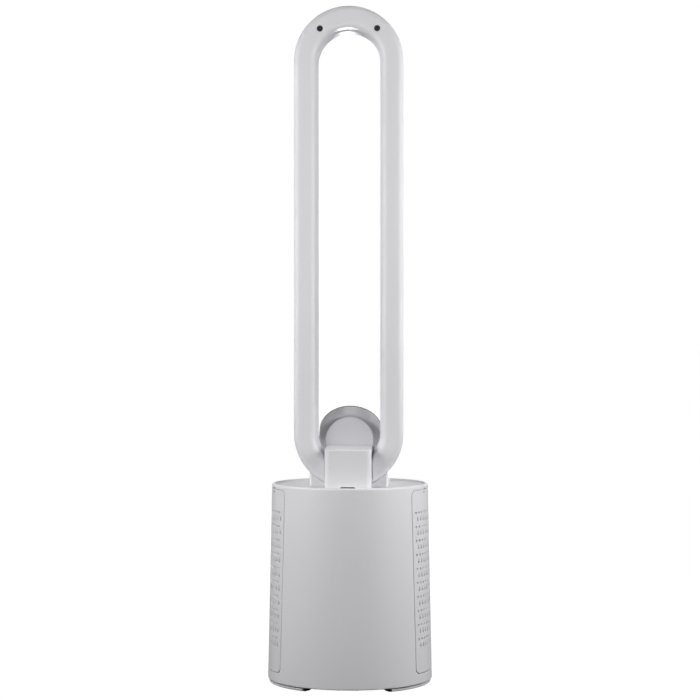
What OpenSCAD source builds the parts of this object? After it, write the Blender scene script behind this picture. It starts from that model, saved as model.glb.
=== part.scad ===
// Bladeless tower fan: a racetrack air loop on a round base that swivels on a flat foot.
// Origin: on the floor, under the middle of the base. +Z up, the display side faces -Y.
// All sizes in millimetres.

/* [Overall] */
// Height of the whole fan, floor to the top of the loop
fan_h = 894; // [840:1:960]
// Height of the base, floor to its rim
base_h = 264.7; // [261.2:0.5:269.2]
// Diameter of the base at its lower edge
base_d = 218.6; // [217:0.2:221]
// How much smaller the diameter is at the rim than at the lower edge
base_taper = 10.6; // [9:0.2:11]

/* [Air loop] */
// Outside width of the loop
loop_w = 144; // [142:0.5:147]
// Width of the loop's band, seen from behind
band_w = 28.5; // [27.5:0.5:29]
// Depth of the loop, front to back
loop_d = 60; // [59:0.5:60]
// Width of the air slit around the inside of the front edge
slit_w = 2.2; // [1.6:0.1:2.8]
// Wall thickness of the loop's mouldings
wall = 2.2; // [1.8:0.1:2.4]

/* [Filter doors] */
// Width of each filter door
door_w = 126; // [122:1:126]
// Gap between a door and the body around it
seam = 0.9; // [0.5:0.1:1.2]
// Groups of holes in each door, one above the other
hole_rows = 10; // [4:1:10]
// Round holes along each row
holes_in_row = 15; // [9:2:15]
// Diameter of the round holes
hole_d = 3.6; // [2:0.2:4]

/* [Control drum] */
// Diameter of the round control drum
drum_d = 85.2; // [80:0.4:86]
// Length of the drum along its axis
drum_l = 20; // [19:0.5:22]

/* [Fan and drive] */
// Blades on the impeller
blade_n = 9; // [5:1:13]
// Vanes in the diffuser
vane_n = 11; // [7:1:13]
// Swing to each side of the middle, in degrees
swing = 40; // [20:1:45]

/* [Hidden] */
$fn = 96;

white = "#e4e4e7";
shade = "#d4d4d8";
black = "#1b1b1d";
steel = "#b9bcc0";

dz = base_h - 264.7;             // the upper parts follow the base's height
r_bot = base_d / 2;
r_top = r_bot - base_taper / 2;
r_out = loop_w / 2;              // loop, outside half width
r_in = r_out - band_w;           // loop, inside half width at the back
r_lip = r_in - 1.2;              // the same at the front
y_f = -8;                        // loop's front face
y_r = loop_d - 8;                // loop's rear face
y_seam = 22;                     // where the two outer shells meet
z_lo = 332.5 + dz;               // centre of the loop's lower arc
z_hi = fan_h - r_out;            // centre of its upper arc
deck_z = base_h - 2.7;           // top face of the recessed deck
door_z0 = 18.5;
door_z1 = base_h - 5.7;
row_pitch = 18.35;
row_z = 229.1 + dz;              // height of the top row of round holes
row_step = 4.36;                 // angle between neighbouring holes
tilt_c = [0, -22, 321 + dz];     // middle of the drum's rear face
plug_p = [37.5, 41.5];           // loop screws, from the upper arc's centre
pin_d = 40;                      // distance from the swivel axis to the pinion
gear_m = 1.25;

function r_at(z) = r_bot - base_taper / 2 * (z - 9.5) / (base_h - 14.2);
function arc(cx, cy, r, a0, a1, n = 8) = [for (i = [0:n]) let (a = a0 + (a1 - a0) * i / n) [cx + r * cos(a), cy + r * sin(a)]];
function polar(r, a) = [r * cos(a), r * sin(a)];
function inv(a) = tan(a) * 180 / PI - a;
// outline of a spur gear with involute flanks and a little backlash
function gear_pts(n, m, add, ded, bl) =
    let (rp = m * n / 2, rb = rp * cos(20), ra = rp + add, rf = rp - ded,
         hp = (PI * m / 2 - bl) / 2 / rp * 180 / PI,
         h = function (r) hp + inv(20) - (r <= rb ? 0 : inv(acos(rb / r))))
    [for (k = [0:n - 1]) each concat(
        [for (i = [0:4]) let (r = rf + (ra - rf) * i / 4) polar(r, k * 360 / n - h(r))],
        [for (i = [4:-1:0]) let (r = rf + (ra - rf) * i / 4) polar(r, k * 360 / n + h(r))])];

// rounded rectangle, centred
module rrect(w, h, r) {
    square([w - 2 * r, h], center = true);
    square([w, h - 2 * r], center = true);
    for (x = [-1, 1], y = [-1, 1]) translate([x * (w / 2 - r), y * (h / 2 - r)]) circle(r, $fn = 32);
}
// a 2D shape drawn as (x, z), extruded along Y from y0 to y1
module ext_y(y0, y1) translate([0, y1, 0]) rotate([90, 0, 0]) linear_extrude(y1 - y0) children();
// a 2D shape drawn as (y, z), extruded along X from x0 to x1
module ext_x(x0, x1) translate([x0, 0, 0]) rotate([90, 0, 90]) linear_extrude(x1 - x0) children();
module tube(ro, ri, z0, z1) translate([0, 0, z0]) difference() {
    cylinder(r = ro, h = z1 - z0);
    translate([0, 0, -1]) cylinder(r = ri, h = z1 - z0 + 2);
}
module cyl(r, z0, z1) translate([0, 0, z0]) cylinder(r = r, h = z1 - z0);
module box(x0, x1, y0, y1, z0, z1) translate([x0, y0, z0]) cube([x1 - x0, y1 - y0, z1 - z0]);
module ring_seg(r0, r1, a0, a1, z0, z1) rotate([0, 0, a0]) translate([0, 0, z0])
    rotate_extrude(angle = a1 - a0) translate([r0, 0]) square([r1 - r0, z1 - z0]);
module rod(p, q, r) {
    d = q - p;
    translate(p) rotate([0, acos(d[2] / norm(d)), atan2(d[1], d[0])]) cylinder(r = r, h = norm(d), $fn = 24);
}
module screw(z, len, up = 1) mirror([0, 0, up > 0 ? 0 : 1]) translate([0, 0, up * z]) {
    cylinder(r = 1.45, h = len, $fn = 24);
    difference() {
        translate([0, 0, -2.2]) cylinder(r = 3.2, h = 2.2, $fn = 32);
        for (a = [0, 90]) rotate([0, 0, a]) translate([-2, -0.4, -2.3]) cube([4, 0.8, 1.2]);
    }
}
module tilted() translate(tilt_c) rotate([54, 0, 0]) children();
// the loop's racetrack, from a section drawn as (distance from the middle line, y)
module racetrack(pts) {
    translate([0, 0, z_lo]) rotate([-90, 0, 0]) rotate_extrude(angle = 180) polygon(pts);
    translate([0, 0, z_hi]) rotate([0, 180, 0]) rotate([-90, 0, 0]) rotate_extrude(angle = 180) polygon(pts);
    for (s = [0, 1]) mirror([s, 0, 0]) translate([0, 0, z_lo]) linear_extrude(z_hi - z_lo) polygon(pts);
}
// round hole through the loop's lower arc
module loop_core(r, y0, y1) translate([0, y1, z_lo]) rotate([90, 0, 0]) cylinder(r = r, h = y1 - y0, $fn = 128);
module loop_mouth() {
    box(-80, 80, -40, 90, 200, deck_z + 0.15);
    box(-28, 28, -4, 41, 200, 275 + dz);
}

// ---------- foot ----------
module foot_pads(g = 0) for (a = [47, 133, 227, 313])
    ring_seg(90.3 - g, 102.5 + g, a - 10.5 - g / 2, a + 10.5 + g / 2, -g, 2.2 + g);
module base_plate() color(shade) difference() {
    union() {
        rotate_extrude($fn = 160) polygon([[90, 0.8], [r_bot - 3.5, 0.8], [r_bot - 2.1, 1.5], [r_bot - 1.7, 2.3], [r_bot - 1.7, 3.5], [r_bot - 2.3, 4],
            [92, 4], [92, 6.5], [9.6, 6.5], [9.6, 4.5], [90, 4.5]]);
        // wall round the wide notch at the rear
        ring_seg(75.5, 77.1, 55, 125, 0.8, 4.7);
        ring_seg(75.5, 91, 54.9, 57.6, 0.8, 4.7);
        ring_seg(75.5, 91, 122.4, 125.1, 0.8, 4.7);
        ring_seg(54, 62, 197, 203, 6, 14.6);
    }
    ring_seg(77, 130, 57.5, 122.5, -1, 4.5);
    box(-13.05, 13.05, 45.95, 100, -1, 20);
    foot_pads(0.05);
    for (a = [30, 150, 210, 330]) rotate([0, 0, a]) translate([50, 0, 0]) cyl(1.5, 0, 6);
}
// inverted trough that houses the power inlet and leads the cord to the notch
module cord_tunnel() color(shade) difference() {
    union() {
        box(-13, 13, 46, 84, 0.8, 11.3);
        for (x = [-13.8, 13.8]) box(x - 0.9, x + 0.9, 50, 70, 2.8, 4.4);
    }
    box(-11.4, 11.4, 47.6, 90, -1, 9.7);
}
module bottom_cover() color(shade) difference() {
    cyl(89.7, 0.8, 2.2);
    cyl(9.6, 0, 4);
    box(-13.2, 13.2, 45, 95, 0, 4);
    ring_seg(75.3, 95, 54.7, 125.3, 0, 4);
    for (a = [30, 150, 210, 330]) rotate([0, 0, a]) translate([50, 0, 0]) cyl(1.6, 0, 6);
}
module ballast_plate() color(steel) difference() {
    tube(86, 54.5, 2.3, 4.4);
    box(-15, 15, 40, 95, 0, 6);
    ring_seg(75.2, 95, 54.6, 125.4, 0, 6);
}
module rubber_feet() color(black) foot_pads();
module swivel_post() color(steel) {
    tube(19, 9.6, 6.5, 8.5);
    tube(14, 9.6, 8.4, 31);
}
module retaining_ring() color(steel) tube(21, 10.5, 31, 33);
module sun_gear() color("#c9c6bd") translate([0, 0, 6.6]) linear_extrude(5) difference() {
    polygon(gear_pts(48, gear_m, 1, 1.45, 0.16));
    circle(19.1);
}
module glide_pads() color("#c9c6bd") for (a = [30, 150, 210, 270, 330]) rotate([0, 0, a]) translate([80, 0, 0]) {
    cyl(4.5, 6.5, 11);
    cyl(3.6, 10.9, 11.7);
}
module power_inlet() color(black) difference() {
    box(-6.5, 6.5, 47.7, 62, 1, 9.6);
    translate([0, 53, 5.3]) rotate([-90, 0, 0]) difference() {
        cylinder(r = 3.2, h = 12);
        translate([0, 0, -1]) cylinder(r = 1, h = 9);
    }
}
module bottom_screws() color(steel) for (a = [30, 150, 210, 330]) rotate([0, 0, a]) translate([50, 0, 0]) {
    cyl(1.45, 0.8, 5.6);
    difference() {
        cyl(3.1, 0.1, 0.8);
        for (b = [0, 90]) rotate([0, 0, b]) box(-2, 2, -0.4, 0.4, 0, 0.5);
    }
}

// ---------- swivelling housing ----------
module chassis_plate() color(shade) difference() {
    union() {
        cyl(103.6, 17.4, 20);
        cyl(20, 17.4, 30.8);
        tube(85, 75, 11.8, 17.5);
        for (s = [-1, 1]) ring_seg(54, 62, 200 + s * (swing + 9) - 3, 200 + s * (swing + 9) + 3, 12.6, 17.5);
        for (s = [-1, 1], y = [-83.4, -79.7, 79.7, 83.4]) translate([s * 26, y, 0]) box(-6, 6, -1, 1, 20, 25);
    }
    cyl(14.06, 0, 40);
    translate([0, -pin_d, 0]) cyl(5.1, 10, 30);
    for (x = [-49.5, 49.5], y = [-85.7, 85.7]) translate([x, y, 0]) cyl(1.6, 10, 30);
    for (x = [-42, 42], y = [-42, 42]) translate([x, y, 0]) cyl(1.6, 10, 30);
}
module chassis_screws() color(steel) {
    for (x = [-49.5, 49.5], y = [-85.7, 85.7]) translate([x, y, 0]) screw(17.4, 14);
    for (x = [-42, 42], y = [-42, 42]) translate([x, y, 0]) screw(17.4, 12);
}
module door_prism(w, z0, z1, r) ext_x(60, 125) translate([0, (z0 + z1) / 2]) rrect(w, z1 - z0, r);
module both() { children(); mirror([1, 0, 0]) children(); }
module body_shell() color(white) {
    difference() {
        rotate_extrude($fn = 160) polygon(concat(
            [[r_bot - 5.4, 5.3], [r_bot - 1.2, 5.3], [r_bot - 0.45, 5.6], [r_bot - 0.05, 6.4], [r_bot, 9.5]],
            arc(r_top - 3, base_h - 3, 3, 3, 90, 6),
            [[r_top - 3.7, base_h - 0.15], [r_top - 4.2, base_h - 0.6], [r_top - 4.6, base_h - 1.4], [r_top - 5, base_h - 2.1],
             [r_top - 5.5, base_h - 2.5], [r_top - 6.3, base_h - 2.68], [r_top - 6.3, door_z1 + 0.1],
             [r_at(door_z1) - 2.6, door_z1], [r_at(12) - 2.6, 12]]));
        both() door_prism(door_w, door_z0, door_z1, 7.5);
        // thumb slots above the doors' top edges
        both() for (a = [-18, 18]) rotate([0, 0, a]) {
            box(r_top - 1.6, 112, -4.5, 4.5, door_z1 - 0.3, door_z1 + 1.7);
            box(r_top - 0.9, 112, -2, 2, door_z1 + 3.4, door_z1 + 4.6);
        }
    }
    // ledge for the deck
    rotate_extrude() polygon([[95.8, base_h - 7.2], [101 - 0.1 * (10.6 - base_taper), base_h - 7.2], [r_top - 2.9, door_z1 + 0.05],
        [r_top - 2.9, base_h - 5.3], [95.8, base_h - 5.3]]);
    // lips behind the edges of the door openings
    intersection() {
        rotate_extrude() polygon([[r_at(15.5) - 4.4, 15.5], [r_at(15.5) - 2.5, 15.5], [r_at(door_z1) - 2.5, door_z1 + 0.2], [r_at(door_z1) - 4.4, door_z1 + 0.2]]);
        both() difference() {
            door_prism(door_w + 6, 15.6, door_z1 + 0.1, 9);
            door_prism(door_w - 6.4, door_z0 + 3, door_z1 - 3, 4.5);
        }
    }
    // screw bosses for the chassis
    for (x = [-1, 1], y = [-1, 1]) difference() {
        intersection() {
            union() {
                translate([x * 49.5, y * 85.7, 0]) cyl(4.4, 20.1, 36);
                rotate([0, 0, y * (90 - x * 30)]) box(101, 107, -1.5, 1.5, 21, 35);
            }
            cyl(106.6, 10, 40);
        }
        translate([x * 49.5, y * 85.7, 0]) cyl(1.45, 10, 33);
    }
}
module top_deck() color(white) difference() {
    union() {
        cyl(r_top - 6.42, deck_z - 2.5, deck_z);
        // posts that carry the neck's screws
        for (x = [-44.6, 44.6], y = [-41, 38]) translate([x, y, 0]) cyl(5, deck_z - 4.5, deck_z - 2.4);
    }
    intersection() {
        cyl(41.5, 200, 300);
        box(-29, 29, -60, 60, 200, 300);
    }
    for (x = [-44.6, 44.6], y = [-41, 38]) translate([x, y, 0]) cyl(1.6, 200, 300);
    for (x = [-38, 38]) translate([x, 10, 0]) cyl(1.6, 200, 300);
    for (x = [-25, 25]) translate([x, 66, 0]) cyl(1.6, 200, 300);
    translate([18, 62, 0]) cyl(4, 200, 300);
}
module deck_screws() color(steel) {
    for (x = [-44.6, 44.6], y = [-41, 38]) translate([x, y, 0]) screw(deck_z - 4.5, 12);
    for (x = [-38, 38]) translate([x, 10, 0]) screw(deck_z - 2.5, 25);
    for (x = [-25, 25]) translate([x, 66, 0]) screw(deck_z - 2.5, 9);
}
module door_catches() color(shade) for (s = [-1, 1], y = [-30, 30]) translate([s * 87.5, y, 0]) {
    box(-2, 2, -3.5, 3.5, 246.4 + dz, deck_z - 2.55);
    translate([s * 2, 0, 0]) box(-1, 1, -3, 3, 248 + dz, 252 + dz);
}
module neck_saddle() color(white) difference() {
    union() {
        difference() {
            translate([0, -1.5, deck_z + 0.05]) linear_extrude(21) rrect(103, 93, 3);
            translate([0, -1.5, deck_z - 1]) linear_extrude(19.5) rrect(98, 88, 1.5);
        }
        for (x = [-44.6, 44.6], y = [-41, 38]) translate([x, y, 0]) cyl(4, deck_z + 0.05, deck_z + 9);
        for (x = [-47, 47], y = [-41, 38]) translate([x, y, 0]) box(-2.5, 2.5, -1, 1, deck_z + 0.05, deck_z + 9);
    }
    loop_core(r_out + 0.25, y_f - 0.3, 60);
    for (x = [-44.6, 44.6], y = [-41, 38]) translate([x, y, 0]) cyl(1.45, 200, deck_z + 8.2);
}
module loop_cradle() color(shade) difference() {
    for (s = [-1, 1]) translate([s * 39.1, 12, deck_z + 0.05]) linear_extrude(30) rrect(19, 40, 1);
    loop_core(r_out + 0.1, -20, 60);
    for (x = [-38, 38]) translate([x, 10, 0]) cyl(1.6, 200, 300);
}
module loop_rear_shell() color(white) difference() {
    union() {
        difference() {
            racetrack(concat([[r_out - 0.9, y_seam]], arc(r_out - 8, y_r - 8, 8, 0, 90), arc(r_in + 8, y_r - 8, 8, 90, 180),
                [[r_in, y_r - 17], [r_in + wall, y_r - 17]], arc(r_in + 8, y_r - 8, 8 - wall, 180, 90),
                arc(r_out - 8, y_r - 8, 8 - wall, 90, 0), [[r_out - 0.9 - wall, y_seam]]));
            for (s = [-1, 1]) translate([s * plug_p[0], 0, z_hi + plug_p[1]]) rotate([-90, 0, 0]) cylinder(r = 5, h = 90);
        }
        for (s = [-1, 1]) translate([s * plug_p[0], 26, z_hi + plug_p[1]]) rotate([-90, 0, 0]) cylinder(r = 6, h = y_r - 26.1);
    }
    for (s = [-1, 1]) translate([s * plug_p[0], 28, z_hi + plug_p[1]]) rotate([-90, 0, 0]) {
        cylinder(r = 4.05, h = 90);
        translate([0, 0, -9]) cylinder(r = 1.6, h = 20);
    }
    // shadow line beside the duct cover
    both() box(29.5, 32.2, y_r - 1.6, y_r + 1, 240, 307 + dz);
    loop_mouth();
}
module loop_front_shell() color(white) difference() {
    union() {
        racetrack(concat([[r_out - 0.9 - wall, y_seam - 0.1], [r_out - 0.9, y_seam - 0.1]], arc(r_out - 8, -1.5, 6.5, 0, -90),
            [[r_lip + wall + slit_w, y_f], [r_lip + wall + slit_w, 4], [r_lip + 1.6 + wall + slit_w, 4],
             [r_lip + 2.2 + wall + slit_w, y_f + wall]], arc(r_out - 8, -1.5, 6.5 - wall, -90, 0)));
        for (s = [-1, 1]) translate([s * plug_p[0], y_f + 1, z_hi + plug_p[1]]) rotate([-90, 0, 0]) cylinder(r = 4, h = 24.8 - y_f);
        for (s = [-1, 1]) intersection() {
            translate([s * 38, 10, 0]) cyl(4, 240, 291 + dz);
            loop_core(r_out - 1, -8, 40);
        }
    }
    for (s = [-1, 1]) translate([s * plug_p[0], 6, z_hi + plug_p[1]]) rotate([-90, 0, 0]) cylinder(r = 1.45, h = 30);
    for (s = [-1, 1]) translate([s * 38, 10, 0]) cyl(1.45, 240, 286.5 + dz);
    loop_mouth();
}
// narrowest a third of the way in, then opening out towards the front
module loop_inner_wall() color(white) {
    y_t = y_r - 29.5;
    side = concat([for (i = [0:5]) [r_in - 1.25 * (1 - cos(36 * i)), y_r - 17.1 - (y_r - 17.1 - y_t) * i / 5]],
        [for (i = [1:4]) let (t = i / 4) [r_in - 2.5 + (r_lip - r_in + 2.5) * pow(t, 1.4), y_t + (y_f + 1.5 - y_t) * t]]);
    n = len(side) - 1;
    racetrack(concat(side, [[r_lip + 0.5, y_f + 0.4], [r_lip + 1.1, y_f], [r_lip + 1.7, y_f + 0.4]], [for (i = [n:-1:0]) side[i] + [wall, 0]]));
}
module slit_spacers() color(shade) {
    n = floor((z_hi - z_lo) / 70);
    for (s = [0, 1], i = [0:n]) mirror([s, 0, 0]) translate([0, 0, z_lo + (z_hi - z_lo) * (i + 0.5) / (n + 1)])
        box(r_lip + wall + 0.05, r_lip + wall + slit_w - 0.05, -4, 1, -3, 3);
}
module loop_screws() color(steel) for (s = [-1, 1]) translate([s * plug_p[0], 28, z_hi + plug_p[1]]) rotate([90, 0, 0]) screw(0, 20);
module screw_plugs() color(black) for (s = [-1, 1]) translate([s * plug_p[0], 31, z_hi + plug_p[1]]) rotate([-90, 0, 0])
    rotate_extrude($fn = 48) polygon([[0, 13], [2.4, 13], [2.4, 0], [4, 0], [4, y_r - 32.6], [3.4, y_r - 32], [0, y_r - 31.8]]);
module rear_duct_cover() color(white) difference() {
    intersection() {
        ext_x(-30.5, 30.5) polygon([[18.4, deck_z + 0.05], [76, deck_z + 0.05], [76, base_h + 46.8], [75.6, base_h + 47.4],
            [74.8, base_h + 47.8], [18.4, base_h + 51.3]]);
        union() {
            translate([0, 60, 200]) linear_extrude(200) rrect(61, 32, 7);
            box(-30.5, 30.5, 0, 62, 200, 400);
        }
    }
    intersection() {
        ext_x(-28.3, 28.3) polygon([[0, 200], [73.8, 200], [73.8, base_h + 45.4], [0, base_h + 50]]);
        union() {
            translate([0, 57.8, 200]) linear_extrude(200) rrect(56.6, 32, 5);
            box(-28.3, 28.3, 0, 62, 200, 400);
        }
    }
    difference() {
        box(-60, 60, 0, y_r + 0.35, 200, z_lo);
        loop_core(r_in - 2.9, 0, 60);
    }
    box(-9.3, 9.3, 70, 80, 200, deck_z + 3);
}
module arch(r, z0) {
    translate([0, 320.3 + dz]) circle(r);
    translate([-r, z0]) square([2 * r, 320.3 + dz - z0]);
}
module pod_body() color(white) difference() {
    intersection() {
        difference() {
            ext_y(-50, 16) arch(32.7, base_h + 18.45);
            difference() {
                box(-60, 60, y_f - 0.6, 60, 200, 400);
                loop_core(r_in - 3.1, -20, 70);
            }
        }
        tilted() translate([-100, -200, -200.1]) cube([200, 400, 200]);
    }
    ext_y(-60, y_f - 2.8) arch(30.5, 200);
    intersection() {
        ext_y(-60, 60) arch(30.5, 200);
        loop_core(r_in - 5.3, -60, 70);
    }
}
module pod_rear_cap() color(white) difference() {
    intersection() {
        union() {
            ext_y(16.05, 17.3) arch(32.7, 250 + dz);
            ext_y(17.2, 18.2) arch(31.9, 250 + dz);
            difference() {
                ext_y(12, 16.1) arch(30.3, 250 + dz);
                ext_y(11, 17) arch(28.6, 250 + dz);
            }
        }
        difference() {
            loop_core(r_in - 3.1, -20, 70);
            ext_y(0, 16.03) difference() {
                translate([0, z_lo]) circle(50);
                translate([0, z_lo]) circle(r_in - 5.5);
            }
        }
    }
    translate([0, 30, 309 + dz]) rotate([90, 0, 0]) cylinder(r = 5.5, h = 40);
}
module drum_shell() color(white) tilted() difference() {
    rotate_extrude($fn = 128) polygon(concat([[0, 0]], arc(drum_d / 2 - 2.5, 2.5, 2.5, -90, 0, 6),
        [[drum_d / 2, drum_l - 1.7], [drum_d / 2 - 2.4, drum_l - 1.7], [drum_d / 2 - 2.4, 2.2], [0, 2.2]]));
    translate([0, 0, -1]) cylinder(r = 9, h = 10);
}
module display_trim() color("#3a3432") tilted() rotate_extrude($fn = 128) polygon([[drum_d / 2 - 3, drum_l - 1.6],
    [drum_d / 2, drum_l - 1.6], [drum_d / 2, drum_l - 0.5], [drum_d / 2 - 0.5, drum_l], [drum_d / 2 - 3, drum_l]]);
module display_glass() color(black) tilted() rotate_extrude($fn = 128) polygon([[0, drum_l - 2.4], [drum_d / 2 - 3.1, drum_l - 2.4],
    [drum_d / 2 - 3.1, drum_l - 0.7], [drum_d / 2 - 3.6, drum_l - 0.4], [0, drum_l - 0.4]]);
module display_board() color("#1f5a3a") tilted() difference() {
    union() {
        cyl(36.5, 8, 9.6);
        translate([-26, 12, 9.5]) cube([7, 7, 1.2]);
        translate([12, -24, 9.5]) cube([9, 9, 1.4]);
        translate([-15, -26, 9.5]) cube([14, 6, 1.8]);
        translate([20, 8, 9.5]) cylinder(r = 2.6, h = 5);
        for (a = [0:60:300]) rotate([0, 0, a + 15]) translate([31.5, 0, 9.5]) cylinder(r = 1.2, h = 1.6, $fn = 24);
    }
    for (a = [30:120:270]) rotate([0, 0, a]) translate([34, 0, 5]) cylinder(r = 1.4, h = 10, $fn = 24);
}
module digit_module() color("#2a2a2c") tilted() translate([-15, -2, 9.7]) {
    cube([30, 13, 6.5]);
    translate([2, 2, 6.4]) cube([11, 9, 0.6]);
    translate([17, 2, 6.4]) cube([11, 9, 0.6]);
}

// ---------- air path ----------
module duct_gasket() color("#55565a") tube(52, 43.5, deck_z - 3.75, deck_z - 2.6);
module plenum_cone() color(shade) rotate_extrude() polygon([[56, 206.1], [63, 206.1], [63, 208.3], [58.2, 208.3], [58.2, 215],
    [45.2, 251 + dz], [45.2, deck_z - 6], [52, deck_z - 6], [52, deck_z - 3.8], [43, deck_z - 3.8], [43, 251 + dz], [56, 214.5]]);
module fan_duct() color(shade) {
    tube(58.2, 56, 98, 206);
    tube(63, 58, 98, 100.2);
    tube(63, 58, 203.8, 206);
}
module inlet_bellmouth() color(shade) rotate_extrude() polygon([[63, 97.9], [52, 97.9], [52, 94.5], [53, 91.5], [55, 89.3], [57.6, 88.2],
    [60.5, 88], [60.5, 90], [58, 90.2], [56.2, 91], [54.9, 92.6], [54.2, 95.7], [63, 95.7]]);
module duct_posts() color(shade) for (x = [-42, 42], y = [-42, 42]) translate([x, y, 0]) difference() {
    cyl(3.4, 20.1, 87.95);
    cyl(1.45, 20, 30.5);
}
module diffuser() color(shade) {
    tube(55.9, 54.4, 150, 198);
    tube(36, 34.2, 146, 200);
    tube(35, 6, 198, 200);
    intersection() {
        tube(55, 35.5, 140, 210);
        for (i = [0:vane_n - 1]) rotate([0, 0, i * 360 / vane_n]) translate([45, 0, 173]) rotate([24, 0, 0]) cube([24, 1.6, 46], center = true);
    }
}
module motor_frame() color("#8f9296") {
    tube(31, 8, 192, 194.5);
    tube(11, 8, 156.2, 192.1);
}
module motor_isolator() color(black) rotate_extrude() polygon([[34.15, 189.6], [34.15, 197], [29.5, 197], [29.5, 194.6],
    [31.05, 194.6], [31.05, 191.9], [29.5, 191.9], [29.5, 189.6]]);
module motor_stator() color("#b06a3a") difference() {
    union() {
        tube(13, 11.05, 161, 182);
        for (i = [0:11]) rotate([0, 0, i * 30]) {
            box(12.5, 23.5, -1.6, 1.6, 163, 180);
            box(14, 21, -2.9, 2.9, 161.5, 181.5);
            intersection() { tube(24.6, 22.6, 163, 180); box(10, 30, -5.4, 5.4, 160, 190); }
        }
    }
    cyl(11.05, 100, 200);
}
module shaft_bearings() color(steel) for (z = [158, 182]) rotate_extrude($fn = 64) polygon([[4.04, z], [7.95, z], [7.95, z + 7], [4.04, z + 7]]);
module swing_motor() color("#8f9296") translate([0, -pin_d, 0]) difference() {
    union() {
        cyl(14, 20.1, 39);
        cyl(4.8, 13.6, 20.2);
        for (s = [-1, 1]) box(s > 0 ? 13 : -20, s > 0 ? 20 : -13, -4, 4, 20.1, 21.3);
        box(-7, 7, -17, -13, 24, 36);
    }
    cyl(2.5, 10, 30);
    for (s = [-1, 1]) translate([s * 17.3, 0, 0]) cyl(1.6, 10, 30);
}
// ---------- electronics ----------
module main_board() color("#1f5a3a") {
    box(-34, 34, 80.75, 82.35, 20.2, 122);
    for (p = [[-22, 36, 10, 14], [4, 60, 16, 16], [-26, 84, 12, 8], [16, 96, 12, 16]]) box(p[0], p[0] + p[2], 78.4, 80.8, p[1], p[1] + p[3]);
    for (x = [-20, -4, 26]) translate([x, 80.8, 48]) rotate([90, 0, 0]) cylinder(r = 4, h = 11, $fn = 32);
    box(20, 30, 74, 80.8, 112, 120);
}
module power_board() color("#1f5a3a") {
    box(-38, 38, -82.35, -80.75, 20.2, 96);
    box(-26, 2, -80.8, -64, 34, 60);
    for (x = [14, 28]) translate([x, -80.8, 44]) rotate([-90, 0, 0]) cylinder(r = 6, h = 17, $fn = 32);
    box(-30, 30, -80.8, -76, 72, 84);
    box(8, 34, -80.8, -72, 60, 68);
}
// a path with its corners cut n times
function rounded(p, n) = n == 0 ? p : rounded(concat([p[0]], [for (i = [0:len(p) - 2]) each
    [if (i > 0) p[i] * 0.75 + p[i + 1] * 0.25, if (i < len(p) - 2) p[i] * 0.25 + p[i + 1] * 0.75]], [p[len(p) - 1]]), n - 1);
// a round lead along a path that never runs along X
module lead(path, r, n = 10) {
    m = len(path);
    pts = [for (i = [0:m - 1]) let (d = path[min(i + 1, m - 1)] - path[max(i - 1, 0)], t = d / norm(d),
        c = cross(t, [1, 0, 0]), u = c / norm(c), v = cross(u, t)) for (k = [0:n - 1]) path[i] + r * (cos(360 * k / n) * u + sin(360 * k / n) * v)];
    polyhedron(pts, concat([[for (k = [0:n - 1]) n - 1 - k]], [[for (k = [0:n - 1]) (m - 1) * n + k]],
        [for (i = [0:m - 2], k = [0:n - 1]) let (a = i * n + k, b = i * n + (k + 1) % n) each [[a, b, b + n], [a, b + n, a + n]]]));
}
module wire_harness() color(black) {
    lead(rounded([[25, 72, 118], [24, 70, 240], [18, 62, 252 + dz], [18, 62, 294 + dz], [13, 54, 305 + dz], [3, 22, 309 + dz],
        [0, 6, 311 + dz], [0, -12, 319 + dz], tilt_c + [0, -2 * sin(54), 2 * cos(54)], tilt_c + [0, -7.9 * sin(54), 7.9 * cos(54)]], 2), 1.9);
    box(22, 28, 70, 73.95, 112.5, 122);
}

// ---------- impeller ----------
module impeller() color(shade) {
    rotate_extrude() polygon([[16, 104], [20, 110], [27, 125], [34, 141], [34, 145], [31.8, 145], [31.8, 141.5], [24.8, 126.5],
        [18, 112], [15, 106.5], [8, 106.5], [8, 130], [4.02, 130], [4.02, 104]]);
    intersection() {
        rotate_extrude() polygon([[17, 105], [54, 106], [54, 140], [33, 140], [26, 125], [19, 110]]);
        for (k = [0:blade_n - 1]) rotate([0, 0, k * 360 / blade_n]) linear_extrude(160) polygon(concat(
            [for (i = [0:8]) let (r = 16 + 39 * i / 8) polar(r, -i * 8 + 0.8 * 180 / PI / r)],
            [for (i = [8:-1:0]) let (r = 16 + 39 * i / 8) polar(r, -i * 8 - 0.8 * 180 / PI / r)]));
    }
}
module rotor_bell() color("#6e7074") rotate_extrude() polygon([[4.02, 147], [29, 147], [29, 184], [25.6, 184], [25.6, 151], [9, 151], [9, 154], [4.02, 154]]);
module motor_shaft() color(steel) union() {
    cyl(4, 97, 190.5);
    tube(5.2, 3.9, 154.1, 157.8);
}
module impeller_nut() color(steel) difference() {
    cyl(7, 98, 103.9, $fn = 6);
    cyl(4.01, 90, 110);
}
module drive_pinion() color("#c9c6bd") translate([0, -pin_d, 0]) {
    translate([0, 0, 7]) linear_extrude(4.2) rotate(11.25) polygon(gear_pts(16, gear_m, 1, 1.45, 0.16));
    cyl(3.6, 11, 13);
    cyl(2.45, 11, 26);
}

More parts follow.
